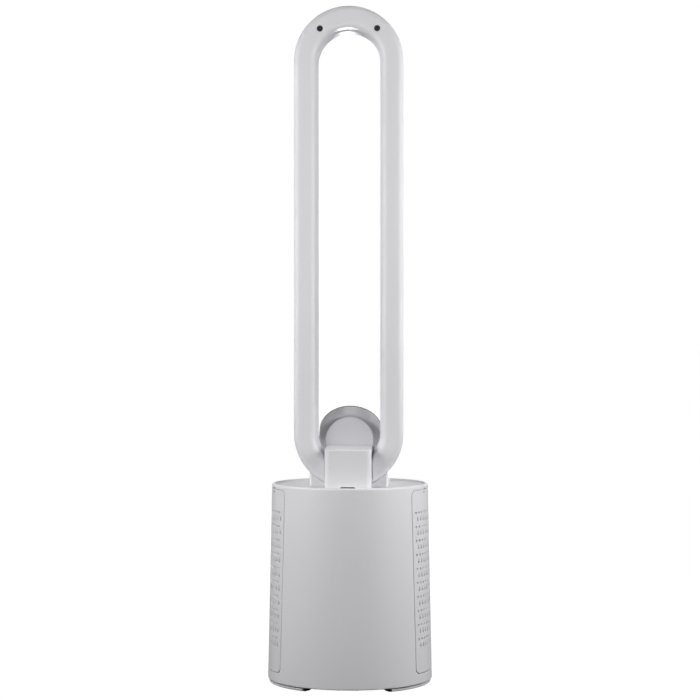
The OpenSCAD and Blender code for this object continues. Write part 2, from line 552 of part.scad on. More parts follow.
// ---------- filter doors ----------
module cone_wall(a, b, z0, z1) rotate_extrude($fn = 160) polygon([[r_at(z0) - b, z0], [r_at(z0) - a, z0], [r_at(z1) - a, z1], [r_at(z1) - b, z1]]);
module door_holes() {
    n = (holes_in_row - 1) / 2;
    for (k = [0:hole_rows - 1]) {
        z = row_z - k * row_pitch;
        for (i = [-n:n]) translate([70, -106 * sin((i + 0.25) * row_step), z]) rotate([0, 90, 0]) cylinder(r = hole_d / 2, h = 50, $fn = 20);
        for (i = [-n:n]) ext_x(70, 120) translate([-106 * sin((i - 0.25) * row_step), z]) polygon([[-2, -10.9], [2, -10.9], [0.3, -4.2], [-0.3, -4.2]]);
    }
}
module filter_door() {
    difference() {
        intersection() {
            cone_wall(0, 2.2, 10, base_h);
            door_prism(door_w - 2 * seam, door_z0 + seam, door_z1 - 0.4, 7);
        }
        door_holes();
        for (a = [-18, 18]) rotate([0, 0, a]) ext_x(r_at(door_z1) - 1.3, 125) translate([0, door_z1 - 4.4]) polygon([[-2, 1.8], [2, 1.8], [0, -1.6]]);
    }
    // two shelves that hold the filter frame
    for (z = [30, 244 + dz]) intersection() {
        cyl(r_at(z) - 1.5, z, z + 1.6);
        box(84.2, 120, -50, 50, z, z + 1.6);
    }
}
module prefilter() intersection() {
    cone_wall(2.4, 3.4, 40, 243 + dz);
    box(60, 120, -57, 57, 44, 240 + dz);
}
module filter_frame() difference() {
    box(66, 84, -52, 52, 26, 246 + dz);
    box(60, 81.6, -49.4, 49.4, 28.6, 243.4 + dz);
    for (k = [0:3]) translate([0, 0, 28.6 + k * (214.8 + dz + 2.6) / 4]) box(60, 90, -49.4, 49.4, 0, (214.8 + dz + 2.6) / 4 - 2.6);
}
// pleated sheet: a zigzag with the same width of fold everywhere
module filter_media() translate([0, 0, 28.8]) linear_extrude(214.4 + dz) polygon(concat(
    [for (i = [0:24]) [i % 2 == 0 ? 66.8 : 78.4, -48.6 + 4.05 * i]], [for (i = [24:-1:0]) [i % 2 == 0 ? 69.7 : 81.3, -48.6 + 4.05 * i]]));

module filter_door_right() color(white) filter_door();
module prefilter_right() color("#c4c5c9") prefilter();
module filter_frame_right() color(shade) filter_frame();
module filter_media_right() color("#f4f2ea") filter_media();
module filter_door_left() color(white) rotate([0, 0, 180]) filter_door();
module prefilter_left() color("#c4c5c9") mirror([1, 0, 0]) prefilter();
module filter_frame_left() color(shade) mirror([1, 0, 0]) filter_frame();
module filter_media_left() color("#f4f2ea") mirror([1, 0, 0]) filter_media();

base_plate();
cord_tunnel();
bottom_cover();
ballast_plate();
rubber_feet();
swivel_post();
retaining_ring();
sun_gear();
glide_pads();
power_inlet();
bottom_screws();
chassis_plate();
chassis_screws();
body_shell();
top_deck();
deck_screws();
door_catches();
neck_saddle();
loop_cradle();
loop_rear_shell();
loop_front_shell();
loop_inner_wall();
slit_spacers();
loop_screws();
screw_plugs();
rear_duct_cover();
pod_body();
pod_rear_cap();
drum_shell();
display_trim();
display_glass();
display_board();
digit_module();
duct_gasket();
plenum_cone();
fan_duct();
inlet_bellmouth();
duct_posts();
diffuser();
motor_frame();
motor_isolator();
motor_stator();
shaft_bearings();
swing_motor();
main_board();
power_board();
wire_harness();
impeller();
rotor_bell();
motor_shaft();
impeller_nut();
drive_pinion();
filter_door_left();
prefilter_left();
filter_frame_left();
filter_media_left();
filter_door_right();
prefilter_right();
filter_frame_right();
filter_media_right();
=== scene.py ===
from math import asin, atan2, cos, degrees, pi, radians, sin, sqrt, tan

import bmesh
import bpy
from mathutils import Matrix, Vector
from mathutils.geometry import delaunay_2d_cdt
from mathutils.kdtree import KDTree


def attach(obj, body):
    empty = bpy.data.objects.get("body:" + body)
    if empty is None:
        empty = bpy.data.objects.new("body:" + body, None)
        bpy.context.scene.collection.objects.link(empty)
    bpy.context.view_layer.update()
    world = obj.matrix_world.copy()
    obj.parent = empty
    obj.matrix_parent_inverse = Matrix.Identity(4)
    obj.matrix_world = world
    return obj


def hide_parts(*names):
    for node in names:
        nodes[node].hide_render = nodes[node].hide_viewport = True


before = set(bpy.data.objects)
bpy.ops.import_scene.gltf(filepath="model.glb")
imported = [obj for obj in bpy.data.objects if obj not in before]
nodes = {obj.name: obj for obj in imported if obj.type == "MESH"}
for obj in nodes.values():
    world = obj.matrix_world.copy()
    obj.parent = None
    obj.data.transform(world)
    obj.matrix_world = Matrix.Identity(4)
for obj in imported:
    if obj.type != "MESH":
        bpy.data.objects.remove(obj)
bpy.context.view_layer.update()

scene = bpy.context.scene

# ------------------------------------------------------------------ camera
cam = bpy.data.objects.new("camera", bpy.data.cameras.new("camera"))
scene.collection.objects.link(cam)
scene.camera = cam
cam.data.lens = 105.12
cam.data.sensor_width = 36
cam.data.clip_end = 200
cam.location = (-0.110, 2.728, 0.466)
aim = Vector((0.110, -2.728, 0)).normalized()
aim.z = -tan(radians(0.5045))
cam.rotation_euler = aim.to_track_quat("-Z", "Y").to_euler()

scene.view_settings.view_transform = "Standard"
scene.view_settings.look = "None"
scene.view_settings.exposure = 0
scene.view_settings.gamma = 1


# ------------------------------------------------------------------ materials
class Mat:
    """A node material with one Principled shader; helpers return sockets."""

    def __init__(self, name, colour, rough=0.5, metallic=0.0, ior=1.5, coat=0.0, coat_rough=0.05, sheen=0.0, trans=0.0):
        self.m = bpy.data.materials.new(name)
        self.m.use_nodes = True
        self.t = self.m.node_tree
        self.s = self.t.nodes["Principled BSDF"]
        self.s.inputs["Base Color"].default_value = (*colour, 1)
        self.s.inputs["Roughness"].default_value = rough
        self.s.inputs["Metallic"].default_value = metallic
        self.s.inputs["IOR"].default_value = ior
        self.s.inputs["Coat Weight"].default_value = coat
        self.s.inputs["Coat Roughness"].default_value = coat_rough
        self.s.inputs["Sheen Weight"].default_value = sheen
        self.s.inputs["Transmission Weight"].default_value = trans
        self.m.diffuse_color = (*colour, 1)
        self.colour = colour
        self.co = self.t.nodes.new("ShaderNodeTexCoord").outputs["Object"]

    def node(self, kind, **values):
        n = self.t.nodes.new(kind)
        for k, v in values.items():
            setattr(n, k, v)
        return n

    def put(self, socket, value):
        if isinstance(value, bpy.types.NodeSocket):
            self.t.links.new(value, socket)
        elif value is not None:
            socket.default_value = value

    def mapped(self, scale=(1, 1, 1), turn=(0, 0, 0), vector=None):
        n = self.node("ShaderNodeMapping")
        self.put(n.inputs["Vector"], vector or self.co)
        n.inputs["Scale"].default_value = scale
        n.inputs["Rotation"].default_value = turn
        return n.outputs["Vector"]

    def noise(self, scale, detail=2.0, rough=0.5, vector=None, distort=0.0):
        n = self.node("ShaderNodeTexNoise")
        self.put(n.inputs["Vector"], vector or self.co)
        n.inputs["Scale"].default_value = scale
        n.inputs["Detail"].default_value = detail
        n.inputs["Roughness"].default_value = rough
        n.inputs["Distortion"].default_value = distort
        return n.outputs["Fac"]

    def cells(self, scale, vector=None, feature="F1"):
        n = self.node("ShaderNodeTexVoronoi", feature=feature)
        self.put(n.inputs["Vector"], vector or self.co)
        n.inputs["Scale"].default_value = scale
        return n.outputs["Distance"]

    def waves(self, scale, axis="X", vector=None, distort=0.0, profile="SIN", kind="BANDS"):
        n = self.node("ShaderNodeTexWave", wave_type=kind, wave_profile=profile)
        if kind == "BANDS":
            n.bands_direction = axis
        else:
            n.rings_direction = axis
        self.put(n.inputs["Vector"], vector or self.co)
        n.inputs["Scale"].default_value = scale
        n.inputs["Distortion"].default_value = distort
        n.inputs["Detail"].default_value = 1.0
        return n.outputs["Fac"]

    def math(self, op, a, b=None, clamp=False):
        n = self.node("ShaderNodeMath", operation=op, use_clamp=clamp)
        self.put(n.inputs[0], a)
        if b is not None:
            self.put(n.inputs[1], b)
        return n.outputs[0]

    def span(self, value, lo, hi, out_lo, out_hi):
        n = self.node("ShaderNodeMapRange")
        self.put(n.inputs["Value"], value)
        for k, v in zip(("From Min", "From Max", "To Min", "To Max"), (lo, hi, out_lo, out_hi)):
            n.inputs[k].default_value = v
        return n.outputs["Result"]

    def mix(self, fac, a, b, mode="MIX"):
        n = self.node("ShaderNodeMix", data_type="RGBA", blend_type=mode)
        self.put(n.inputs[0], fac)
        for socket, v in ((n.inputs[6], a), (n.inputs[7], b)):
            self.put(socket, v if isinstance(v, bpy.types.NodeSocket) else (*v, 1))
        return n.outputs[2]

    def bump(self, height, strength, distance, normal=None):
        n = self.node("ShaderNodeBump")
        self.put(n.inputs["Height"], height)
        n.inputs["Strength"].default_value = strength
        n.inputs["Distance"].default_value = distance
        if normal is not None:
            self.put(n.inputs["Normal"], normal)
        return n.outputs["Normal"]

    def base(self, value):
        self.put(self.s.inputs["Base Color"], value)

    def rough(self, value):
        self.put(self.s.inputs["Roughness"], value)

    def normal(self, value):
        self.put(self.s.inputs["Normal"], value)


def shade(c, k):
    return tuple(min(1.0, v * k) for v in c)


def moulded(name, colour, rough, grain=0.05, vary=0.02, specks=0.0, scale=2400.0, ior=1.5):
    """Moulded plastic: soft large-scale colour drift, a fine spark-eroded grain and a few specks of dust."""
    m = Mat(name, colour, rough, ior=ior)
    drift = m.noise(7, 2, 0.5)
    fine = m.noise(520, 3, 0.6)
    c = m.mix(m.span(drift, 0.3, 0.7, 0, 1), shade(colour, 1 - vary), shade(colour, 1 + vary))
    c = m.mix(m.span(fine, 0.35, 0.65, 0, 1), c, m.mix(1.0, c, (0.985, 0.985, 0.988), "MULTIPLY"))
    if specks:
        # sparse specks, each under a millimetre
        dots = m.span(m.cells(48), 0.018, 0.045, 1, 0)
        some = m.span(m.noise(31, 1), 0.56, 0.6, 0, specks)
        c = m.mix(m.math("MULTIPLY", dots, some), c, shade(colour, 0.55))
    m.base(c)
    m.rough(m.span(m.noise(90, 3), 0.3, 0.7, rough - 0.03, rough + 0.04))
    m.normal(m.bump(m.noise(scale, 2, 0.6), grain, 0.00004, m.bump(m.noise(14, 1), 0.05, 0.0004)))
    return m.m


def metal(name, colour, rough, lines=0.0, axis="Z", scale=1800.0):
    """Worked metal with fine turning or rolling lines and cloudy roughness."""
    m = Mat(name, colour, rough, metallic=1.0)
    m.base(m.mix(m.noise(60, 3), shade(colour, 0.88), shade(colour, 1.08)))
    m.rough(m.span(m.noise(240, 4), 0.3, 0.7, rough - 0.07, rough + 0.09))
    k = {"X": (40, 1, 1), "Y": (1, 40, 1), "Z": (1, 1, 40)}[axis]
    m.normal(m.bump(m.noise(scale / 30, 2, 0.6, m.mapped(k)), 0.06 + lines, 0.00006))
    return m.m


WHITE = (0.765, 0.762, 0.785)
M = {}
M["shell_white"] = moulded("satin_white", WHITE, 0.40, 0.05, 0.012, specks=0.30)
M["door_white"] = moulded("satin_white_door", shade(WHITE, 0.99), 0.41, 0.05, 0.012, specks=0.2)
# the deck's white is the shell's white darkened by 8 %: painted shade on the deck's top face
M["deck_white"] = moulded("satin_white_deck_painted_shade", shade(WHITE, 0.92), 0.42, 0.05, 0.012, specks=0.25)
# the shell's white brightened by 20 %: painted light for the rim's inner slope, which falls into shade
M["rim_white"] = moulded("satin_white_rim_painted_light", shade(WHITE, 1.2), 0.40, 0.03, 0.010, specks=0.2)
M["base_grey"] = moulded("foot_grey", (0.66, 0.66, 0.68), 0.45, 0.07, 0.02, specks=0.2)
# dark grey for the door's edge faces inside the seam: painted shade of the gap between door and shell
M["seam_painted_shade_grey"] = moulded("seam_painted_shade_grey", (0.24, 0.24, 0.25), 0.6)
M["mark_grey"] = moulded("mark_grey", (0.16, 0.16, 0.17), 0.45)
M["drum_white"] = moulded("gloss_white", shade(WHITE, 0.97), 0.20, 0.02, 0.010, specks=0.15)
M["inner_grey"] = moulded("inner_grey", (0.58, 0.58, 0.60), 0.52, 0.10, 0.03)
M["impeller_grey"] = moulded("impeller_grey", (0.40, 0.41, 0.43), 0.36, 0.05, 0.03)
M["plastic_black"] = moulded("black_plastic", (0.018, 0.018, 0.020), 0.42, 0.08, 0.10, scale=1600)
M["plug_black"] = moulded("plug_black", (0.016, 0.015, 0.016), 0.50, 0.10, 0.12, scale=1800)
M["gear_acetal"] = moulded("acetal", (0.72, 0.70, 0.64), 0.30, 0.03, 0.03)
M["steel"] = metal("zinc_steel", (0.60, 0.61, 0.63), 0.34)
M["motor_steel"] = metal("motor_steel", (0.33, 0.34, 0.36), 0.38)
M["aluminium"] = metal("aluminium", (0.70, 0.71, 0.72), 0.36, 0.03, "X")


def rubber():
    m = Mat("black_rubber", (0.017, 0.016, 0.017), 0.78, ior=1.45)
    m.base(m.mix(m.noise(160, 4), (0.012, 0.012, 0.012), (0.028, 0.026, 0.027)))
    m.rough(m.span(m.noise(300, 3), 0.3, 0.7, 0.68, 0.86))
    m.normal(m.bump(m.noise(1500, 3, 0.6), 0.25, 0.00008))
    return m.m


def foam():
    m = Mat("grey_foam", (0.07, 0.07, 0.075), 0.95)
    h = m.cells(900)
    m.base(m.mix(m.span(h, 0.0, 0.6, 0, 1), (0.03, 0.03, 0.032), (0.10, 0.10, 0.106)))
    m.normal(m.bump(h, 0.6, 0.0004))
    return m.m


def trim():
    m = Mat("bronze_trim", (0.085, 0.072, 0.066), 0.20, metallic=0.85, coat=0.5, coat_rough=0.06)
    m.base(m.mix(m.noise(40, 2), (0.075, 0.064, 0.059), (0.11, 0.092, 0.084)))
    m.rough(m.span(m.noise(400, 3), 0.3, 0.7, 0.17, 0.27))
    m.normal(m.bump(m.noise(900, 2), 0.02, 0.00003))
    return m.m


def black_glass():
    m = Mat("display_glass", (0.006, 0.006, 0.008), 0.06, ior=1.52, coat=1.0, coat_rough=0.03)
    m.base(m.mix(m.noise(30, 3), (0.004, 0.004, 0.006), (0.010, 0.010, 0.012)))
    # faint wiping marks in the gloss
    m.rough(m.span(m.noise(26, 4, 0.65, m.mapped((1, 2.5, 1), (0.3, 0, 0.8))), 0.35, 0.75, 0.045, 0.13))
    m.normal(m.bump(m.noise(12, 1), 0.02, 0.0003))
    return m.m


def board():
    m = Mat("board_green", (0.02, 0.11, 0.05), 0.35, coat=0.4, coat_rough=0.15)
    lines = m.math("MAXIMUM", m.waves(120, "X", distort=2.0, profile="SAW"), m.waves(140, "Z", distort=2.5, profile="SAW"))
    tracks = m.span(lines, 0.86, 0.93, 0, 1)
    m.base(m.mix(tracks, m.mix(m.noise(80, 2), (0.012, 0.075, 0.035), (0.02, 0.10, 0.045)), (0.05, 0.19, 0.08)))
    m.normal(m.bump(tracks, 0.3, 0.00006))
    return m.m


def winding():
    m = Mat("copper_winding", (0.62, 0.27, 0.12), 0.32, metallic=1.0)
    turns = m.waves(430, "Z")
    m.base(m.mix(turns, (0.30, 0.11, 0.05), (0.75, 0.36, 0.17)))
    m.normal(m.bump(turns, 0.7, 0.0003))
    return m.m


def weave(name, dark, light, pitch, gain):
    """Fine woven net: two crossed sets of threads with gaps between them."""
    m = Mat(name, light, 0.7, sheen=0.15)
    a = m.waves(0.5 / pitch, "Y")
    b = m.waves(0.5 / pitch, "Z")
    thread = m.math("MAXIMUM", a, b)
    m.base(m.mix(m.span(thread, 0.35, 0.8, 0, 1), dark, m.mix(m.noise(60, 2), shade(light, 0.93), shade(light, 1.04))))
    m.normal(m.bump(thread, gain, 0.0002))
    m.rough(m.span(thread, 0, 1, 0.85, 0.55))
    return m.m


def paper():
    m = Mat("filter_paper", (0.82, 0.81, 0.76), 0.9, sheen=0.1)
    fibre = m.noise(420, 5, 0.75, m.mapped((1, 3, 1)), 1.2)
    m.base(m.mix(m.span(fibre, 0.3, 0.7, 0, 1), (0.70, 0.69, 0.64), (0.86, 0.85, 0.81)))
    m.normal(m.bump(fibre, 0.35, 0.0002))
    return m.m


def glow(name, colour, power):
    m = Mat(name, (0.8, 0.8, 0.8), 0.4)
    m.s.inputs["Emission Color"].default_value = (*colour, 1)
    m.s.inputs["Emission Strength"].default_value = power
    m.base(m.mix(m.noise(200, 2), (0.72, 0.75, 0.8), (0.82, 0.84, 0.88)))
    return m.m


def ink():
    m = Mat("printed_grey", (0.50, 0.51, 0.53), 0.45)
    m.base(m.mix(m.noise(700, 3), (0.44, 0.45, 0.47), (0.56, 0.57, 0.59)))
    m.normal(m.bump(m.noise(3000, 2), 0.04, 0.00003))
    return m.m


M["rubber_black"] = rubber()
M["foam_grey"] = foam()
M["trim_dark"] = trim()
M["glass_black"] = black_glass()
M["board_green"] = board()
M["copper_winding"] = winding()
M["mesh_grey"] = weave("prefilter_net", (0.06, 0.06, 0.065), (0.30, 0.30, 0.31), 0.0016, 0.6)
M["filter_white"] = paper()
M["digits"] = glow("digit_light", (0.80, 0.90, 1.0), 1.1)
M["ink"] = ink()

# ------------------------------------------------------------------ mesh tools
MM = 0.001


def rounded(points, fine=1.0):
    """A closed outline of corners (x, y, radius), each turned into an arc."""
    out = []
    m = len(points)
    for i in range(m):
        x, y, r = points[i]
        if r <= 0:
            out.append((x, y))
            continue
        p = Vector((x, y))
        a = (Vector(points[i - 1][:2]) - p).normalized()
        b = (Vector(points[(i + 1) % m][:2]) - p).normalized()
        half = a.angle(b) / 2
        c = p + (a + b).normalized() * (r / sin(half))
        p0, p1 = p + a * (r / tan(half)), p + b * (r / tan(half))
        a0, a1 = atan2(p0.y - c.y, p0.x - c.x), atan2(p1.y - c.y, p1.x - c.x)
        d = (a1 - a0 + pi) % (2 * pi) - pi
        k = max(2, round((3 if r < 1 else 5 if r < 3 else 10) * fine * abs(d) / (pi / 2)))
        out += [(c.x + r * cos(a0 + d * j / k), c.y + r * sin(a0 + d * j / k)) for j in range(k + 1)]
    return out


def rrect(w, z0, z1, r, corner=8, across=42, up=40):
    """Outline of a rounded rectangle centred on 0 across, from z0 to z1, always with the same number of points."""
    x = w / 2
    out = []
    for cx, cz, a0, (ex, ez), n in (
        (x - r, z0 + r, -90, (x, z1 - r), up),
        (x - r, z1 - r, 0, (-x + r, z1), across),
        (-x + r, z1 - r, 90, (-x, z0 + r), up),
        (-x + r, z0 + r, 180, (x - r, z0), across),
    ):
        arc = [(cx + r * cos(radians(a0 + 90 * i / corner)), cz + r * sin(radians(a0 + 90 * i / corner))) for i in range(corner + 1)]
        out += arc
        sx, sz = arc[-1]
        out += [(sx + (ex - sx) * i / n, sz + (ez - sz) * i / n) for i in range(1, n)]
    return out


def closed_strip(bm, a, b, flip=False):
    n = len(a)
    for i in range(n):
        j = (i + 1) % n
        q = (a[i], a[j], b[j], b[i])
        if len(set(q)) > 2:
            try:
                bm.faces.new(tuple(dict.fromkeys(reversed(q) if flip else q)))
            except ValueError:
                pass


def ring(bm, points):
    return [bm.verts.new((p[0] * MM, p[1] * MM, p[2] * MM)) for p in points]


def stack(bm, rings, caps=True):
    """A closed skin through rings of points that all have the same length."""
    made = [ring(bm, r) for r in rings]
    for a, b in zip(made, made[1:]):
        closed_strip(bm, a, b)
    if caps:
        bm.faces.new(list(reversed(made[0])))
        bm.faces.new(made[-1])
    return made


def lathe(bm, outline, n=160, place=Matrix.Identity(4), a0=0.0, a1=360.0):
    """Turns a closed outline of (radius, height) about Z, or part of the way round with closed ends."""
    whole = abs(a1 - a0 - 360) < 1e-6
    cols = []
    for k in range(n if whole else n + 1):
        a = radians(a0 + (a1 - a0) * k / n)
        cols.append([bm.verts.new(place @ Vector((r * cos(a) * MM, r * sin(a) * MM, z * MM))) for r, z in outline])
    for k in range(n):
        closed_strip(bm, cols[k], cols[(k + 1) % len(cols)])
    if not whole:
        bm.faces.new(list(reversed(cols[0])))
        bm.faces.new(cols[-1])


def close_up(bm, sharp=38.0, weld=0.002):
    bmesh.ops.remove_doubles(bm, verts=bm.verts, dist=weld * MM)
    bad = [f for f in bm.faces if f.calc_area() < 1e-13]
    if bad:
        bmesh.ops.dissolve_degenerate(bm, dist=1e-7, edges=bm.edges)
    bmesh.ops.recalc_face_normals(bm, faces=bm.faces)
    for f in bm.faces:
        f.smooth = True
    for e in bm.edges:
        e.smooth = not (len(e.link_faces) == 2 and e.calc_face_angle(0) > radians(sharp))


def as_object(name, bm, material, sharp=38.0, place=None):
    if place is not None:
        bmesh.ops.transform(bm, matrix=place, verts=bm.verts)
    close_up(bm, sharp)
    me = bpy.data.meshes.new(name)
    bm.to_mesh(me)
    bm.free()
    me.materials.append(material)
    ob = bpy.data.objects.new(name, me)
    scene.collection.objects.link(ob)
    return ob


def apply_all(ob):
    bpy.context.view_layer.update()
    done = bpy.data.meshes.new_from_object(ob.evaluated_get(bpy.context.evaluated_depsgraph_get()))
    done.name = ob.data.name
    ob.modifiers.clear()
    old, ob.data = ob.data, done
    bpy.data.meshes.remove(old)


def carve(ob, cutters, mode="DIFFERENCE"):
    """Booleans with throwaway meshes."""
    for c in cutters:
        mod = ob.modifiers.new("cut", "BOOLEAN")
        mod.operation = mode
        mod.solver = "EXACT"
        mod.object = c
    apply_all(ob)
    for c in cutters:
        bpy.data.objects.remove(c)
    bm = bmesh.new()
    bm.from_mesh(ob.data)
    close_up(bm, 38, 0.001)
    bm.to_mesh(ob.data)
    bm.free()


def soften(ob, width, low=38.0, where=None, segments=2):
    """Rounds the sharp edges that a carve has left."""
    bm = bmesh.new()
    bm.from_mesh(ob.data)
    edges = [e for e in bm.edges if len(e.link_faces) == 2 and e.calc_face_angle(0) > radians(low)
             and (where is None or where((e.verts[0].co + e.verts[1].co) / 2 / MM))]
    bmesh.ops.bevel(bm, geom=edges, offset=width * MM, offset_type="OFFSET", segments=segments, profile=0.5,
                    affect="EDGES", clamp_overlap=True, loop_slide=True)
    close_up(bm, 38, 0.001)
    bm.to_mesh(ob.data)
    bm.free()


def even_normals(ob):
    mod = ob.modifiers.new("normals", "WEIGHTED_NORMAL")
    mod.mode = "FACE_AREA"
    mod.weight = 90
    mod.keep_sharp = True


def piece(ob, body, slot, *replaced, normals=True):
    if normals:
        even_normals(ob)
    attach(ob, body)
    if replaced:
        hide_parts(*replaced)
    return ob


def block(name, x0, x1, y0, y1, z0, z1, r=0.0):
    """A plain cutter box, with vertical corners of radius r."""
    bm = bmesh.new()
    if r:
        out = [(x + (x0 + x1) / 2, z) for x, z in rrect(x1 - x0, y0, y1, r, 6, 1, 1)]
    else:
        out = [(x0, y0), (x1, y0), (x1, y1), (x0, y1)]
    stack(bm, [[(x, y, z) for x, y in out] for z in (z0, z1)])
    return as_object(name, bm, M["shell_white"])


def prism_y(name, outline, y0, y1):
    """A cutter or body drawn as (x, z) and pulled along Y."""
    bm = bmesh.new()
    stack(bm, [[(x, y, z) for x, z in outline] for y in (y0, y1)])
    return as_object(name, bm, M["shell_white"])


def disc_z(x, y, r, z0, z1, n=32):
    bm = bmesh.new()
    stack(bm, [[(x + r * cos(2 * pi * i / n), y + r * sin(2 * pi * i / n), z) for i in range(n)] for z in (z0, z1)])
    return bm


def disc_y(name, r, y0, y1, z=332.5, n=256, x=0.0):
    return prism_y(name, [(x + r * cos(2 * pi * i / n), z + r * sin(2 * pi * i / n)) for i in range(n)], y0, y1)


# ------------------------------------------------------------------ air loop
Z_LO, Z_HI = 332.5, 822.0
PLUG_X, PLUG_Z = 37.5, 863.5


def loop_path(n_arc=80, n_side=18):
    """Samples round the racetrack: (height of the centre, direction x, direction z)."""
    out = [(Z_LO, cos(pi + pi * i / n_arc), sin(pi + pi * i / n_arc)) for i in range(n_arc)]
    out += [(Z_LO + (Z_HI - Z_LO) * i / n_side, 1.0, 0.0) for i in range(n_side)]
    out += [(Z_HI, cos(pi * i / n_arc), sin(pi * i / n_arc)) for i in range(n_arc)]
    out += [(Z_HI + (Z_LO - Z_HI) * i / n_side, -1.0, 0.0) for i in range(n_side)]
    return out


def loop_sweep(name, section):
    bm = bmesh.new()
    cols = [ring(bm, [(u * dx, y, zc + u * dz) for u, y in section]) for zc, dx, dz in loop_path()]
    for k in range(len(cols)):
        closed_strip(bm, cols[k], cols[(k + 1) % len(cols)])
    return as_object(name, bm, M["shell_white"])


def mouth():
    return [block("cut", -80, 80, -60, 90, 200, 262.15), block("cut", -28, 28, -4, 41, 200, 275)]


rear = loop_sweep("loop_rear", rounded([
    (71.1, 22, 0.35), (72, 44, 0), *[(64 + 8 * cos(radians(a)), 44 + 8 * sin(radians(a)), 0) for a in range(9, 91, 9)],
    (43.5, 52, 8), (43.5, 35, 0.4), (45.7, 35, 0.3), (45.7, 49.8, 5.8), (69.6, 49.8, 5.8), (68.9, 22, 0.3)], 1.2))
holes = []
for s in (-1, 1):
    bm = bmesh.new()
    lathe(bm, [(0, 30), (4.06, 30), (4.06, 51.35), (4.14, 51.52), (4.32, 51.68), (4.75, 52.05), (4.75, 53), (0, 53)], 64,
          Matrix.Translation((s * PLUG_X * MM, 0, PLUG_Z * MM)) @ Matrix.Rotation(radians(-90), 4, "X"))
    holes.append(as_object("cut", bm, M["shell_white"]))
lines = [block("cut", *sorted((s * 29.5, s * 32.2)), 50.4, 55, 240, 307) for s in (-1, 1)]
carve(rear, mouth() + holes + lines)
piece(rear, "housing", "shell_white", "loop_rear_shell")

front = loop_sweep("loop_front", rounded([
    (71.1, 21.9, 0.35), (70.1, -8, 6.3), (46.7, -8, 0.45), (46.7, 4, 0.3), (48.3, 4, 0.3), (48.9, -5.8, 0.8), (68.0, -5.8, 4.2), (68.9, 21.9, 0.3)], 1.2))
carve(front, mouth())
piece(front, "housing", "shell_white", "loop_front_shell")

skin = [(43.5 - 1.25 * (1 - cos(pi * i / 10)), 34.9 - 12.4 * i / 10) for i in range(11)]
skin += [(41 + 1.3 * (i / 8) ** 1.4, 22.5 - 29 * i / 8) for i in range(1, 9)]
inner = loop_sweep("loop_inner", skin + [(42.42, -7.1), (42.8, -7.7), (43.4, -8), (44.0, -7.7), (44.38, -7.1)] + [(u + 2.2, y) for u, y in reversed(skin)])
carve(inner, mouth())
piece(inner, "housing", "shell_white", "loop_inner_wall")

bm = bmesh.new()
for s in (-1, 1):
    lathe(bm, rounded([(0.001, 44, 0), (2.4, 44, 0.2), (2.4, 31, 0.2), (4, 31, 0.3), (4, 51.35, 0.55), (3.05, 51.42, 0.12),
                       (2.85, 51.22, 0.12), (2.5, 51.22, 0.12), (2.3, 51.42, 0.12), (0.001, 51.45, 0)]), 56,
          Matrix.Translation((s * PLUG_X * MM, 0, PLUG_Z * MM)) @ Matrix.Rotation(radians(-90), 4, "X"))
piece(as_object("loop_plugs", bm, M["plug_black"]), "housing", "plug_black", "screw_plugs")


# ------------------------------------------------------------------ base shell and filter doors
def r_at(z):
    return 109.3 - 5.3 * (z - 9.5) / 250.5


def on_cone(y, z, d, side=1):
    return (side * sqrt((r_at(z) - d) ** 2 - y * y), y, z)


def inside(p, poly):
    x, y = p
    hit = False
    j = len(poly) - 1
    for i in range(len(poly)):
        xi, yi = poly[i]
        xj, yj = poly[j]
        if (yi > y) != (yj > y) and x < (xj - xi) * (y - yi) / (yj - yi) + xi:
            hit = not hit
        j = i
    return hit


def triangulate(loops, grid, clear):
    """Triangles of loops[0] less the other loops, through every grid point that is clear of their edges."""
    flat = [p for loop in loops for p in loop]
    tree = KDTree(len(flat))
    for i, p in enumerate(flat):
        tree.insert((p[0], p[1], 0), i)
    tree.balance()
    mids, reach = [], []
    for loop in loops[1:]:
        cx, cy = sum(p[0] for p in loop) / len(loop), sum(p[1] for p in loop) / len(loop)
        mids.append((cx, cy))
        reach.append(max(sqrt((p[0] - cx) ** 2 + (p[1] - cy) ** 2) for p in loop))

    def free(p):
        if not inside(p, loops[0]):
            return False
        return not any((p[0] - m[0]) ** 2 + (p[1] - m[1]) ** 2 < r * r and inside(p, loop)
                       for m, r, loop in zip(mids, reach, loops[1:]))

    kept = [g for g in grid if tree.find((g[0], g[1], 0))[2] > clear and free(g)]
    pts = flat + kept
    edges, at = [], 0
    for loop in loops:
        edges += [(at + i, at + (i + 1) % len(loop)) for i in range(len(loop))]
        at += len(loop)
    vs, _, fs, origin, _, _ = delaunay_2d_cdt([Vector(p) for p in pts], edges, [], 0, 1e-6)
    tris = []
    for f in fs:
        ids = [origin[i][0] for i in f]
        c = (sum(pts[i][0] for i in ids) / 3, sum(pts[i][1] for i in ids) / 3)
        if free(c):
            tris.append(ids)
    return pts, tris


def add_tris(bm, made, tris, flip):
    for t in tris:
        t = list(reversed(t)) if flip else t
        try:
            bm.faces.new([made[i] for i in t])
        except ValueError:
            pass


def strip_rings(bm, first, rings, last=None):
    """Joins a ring of vertices to further rings of points, and to a last ring of vertices that exists."""
    now = first
    for r in rings:
        new = ring(bm, r)
        closed_strip(bm, now, new)
        now = new
    if last is not None:
        closed_strip(bm, now, last)
    return now


STEP = 1.5
DOOR_Z0, DOOR_Z1 = 18.5, 259.0


def opening(o):
    """Outline of the door opening, widened by o."""
    return rrect(126 + 2 * o, DOOR_Z0 - o, DOOR_Z1 + o, 7.5 + o)


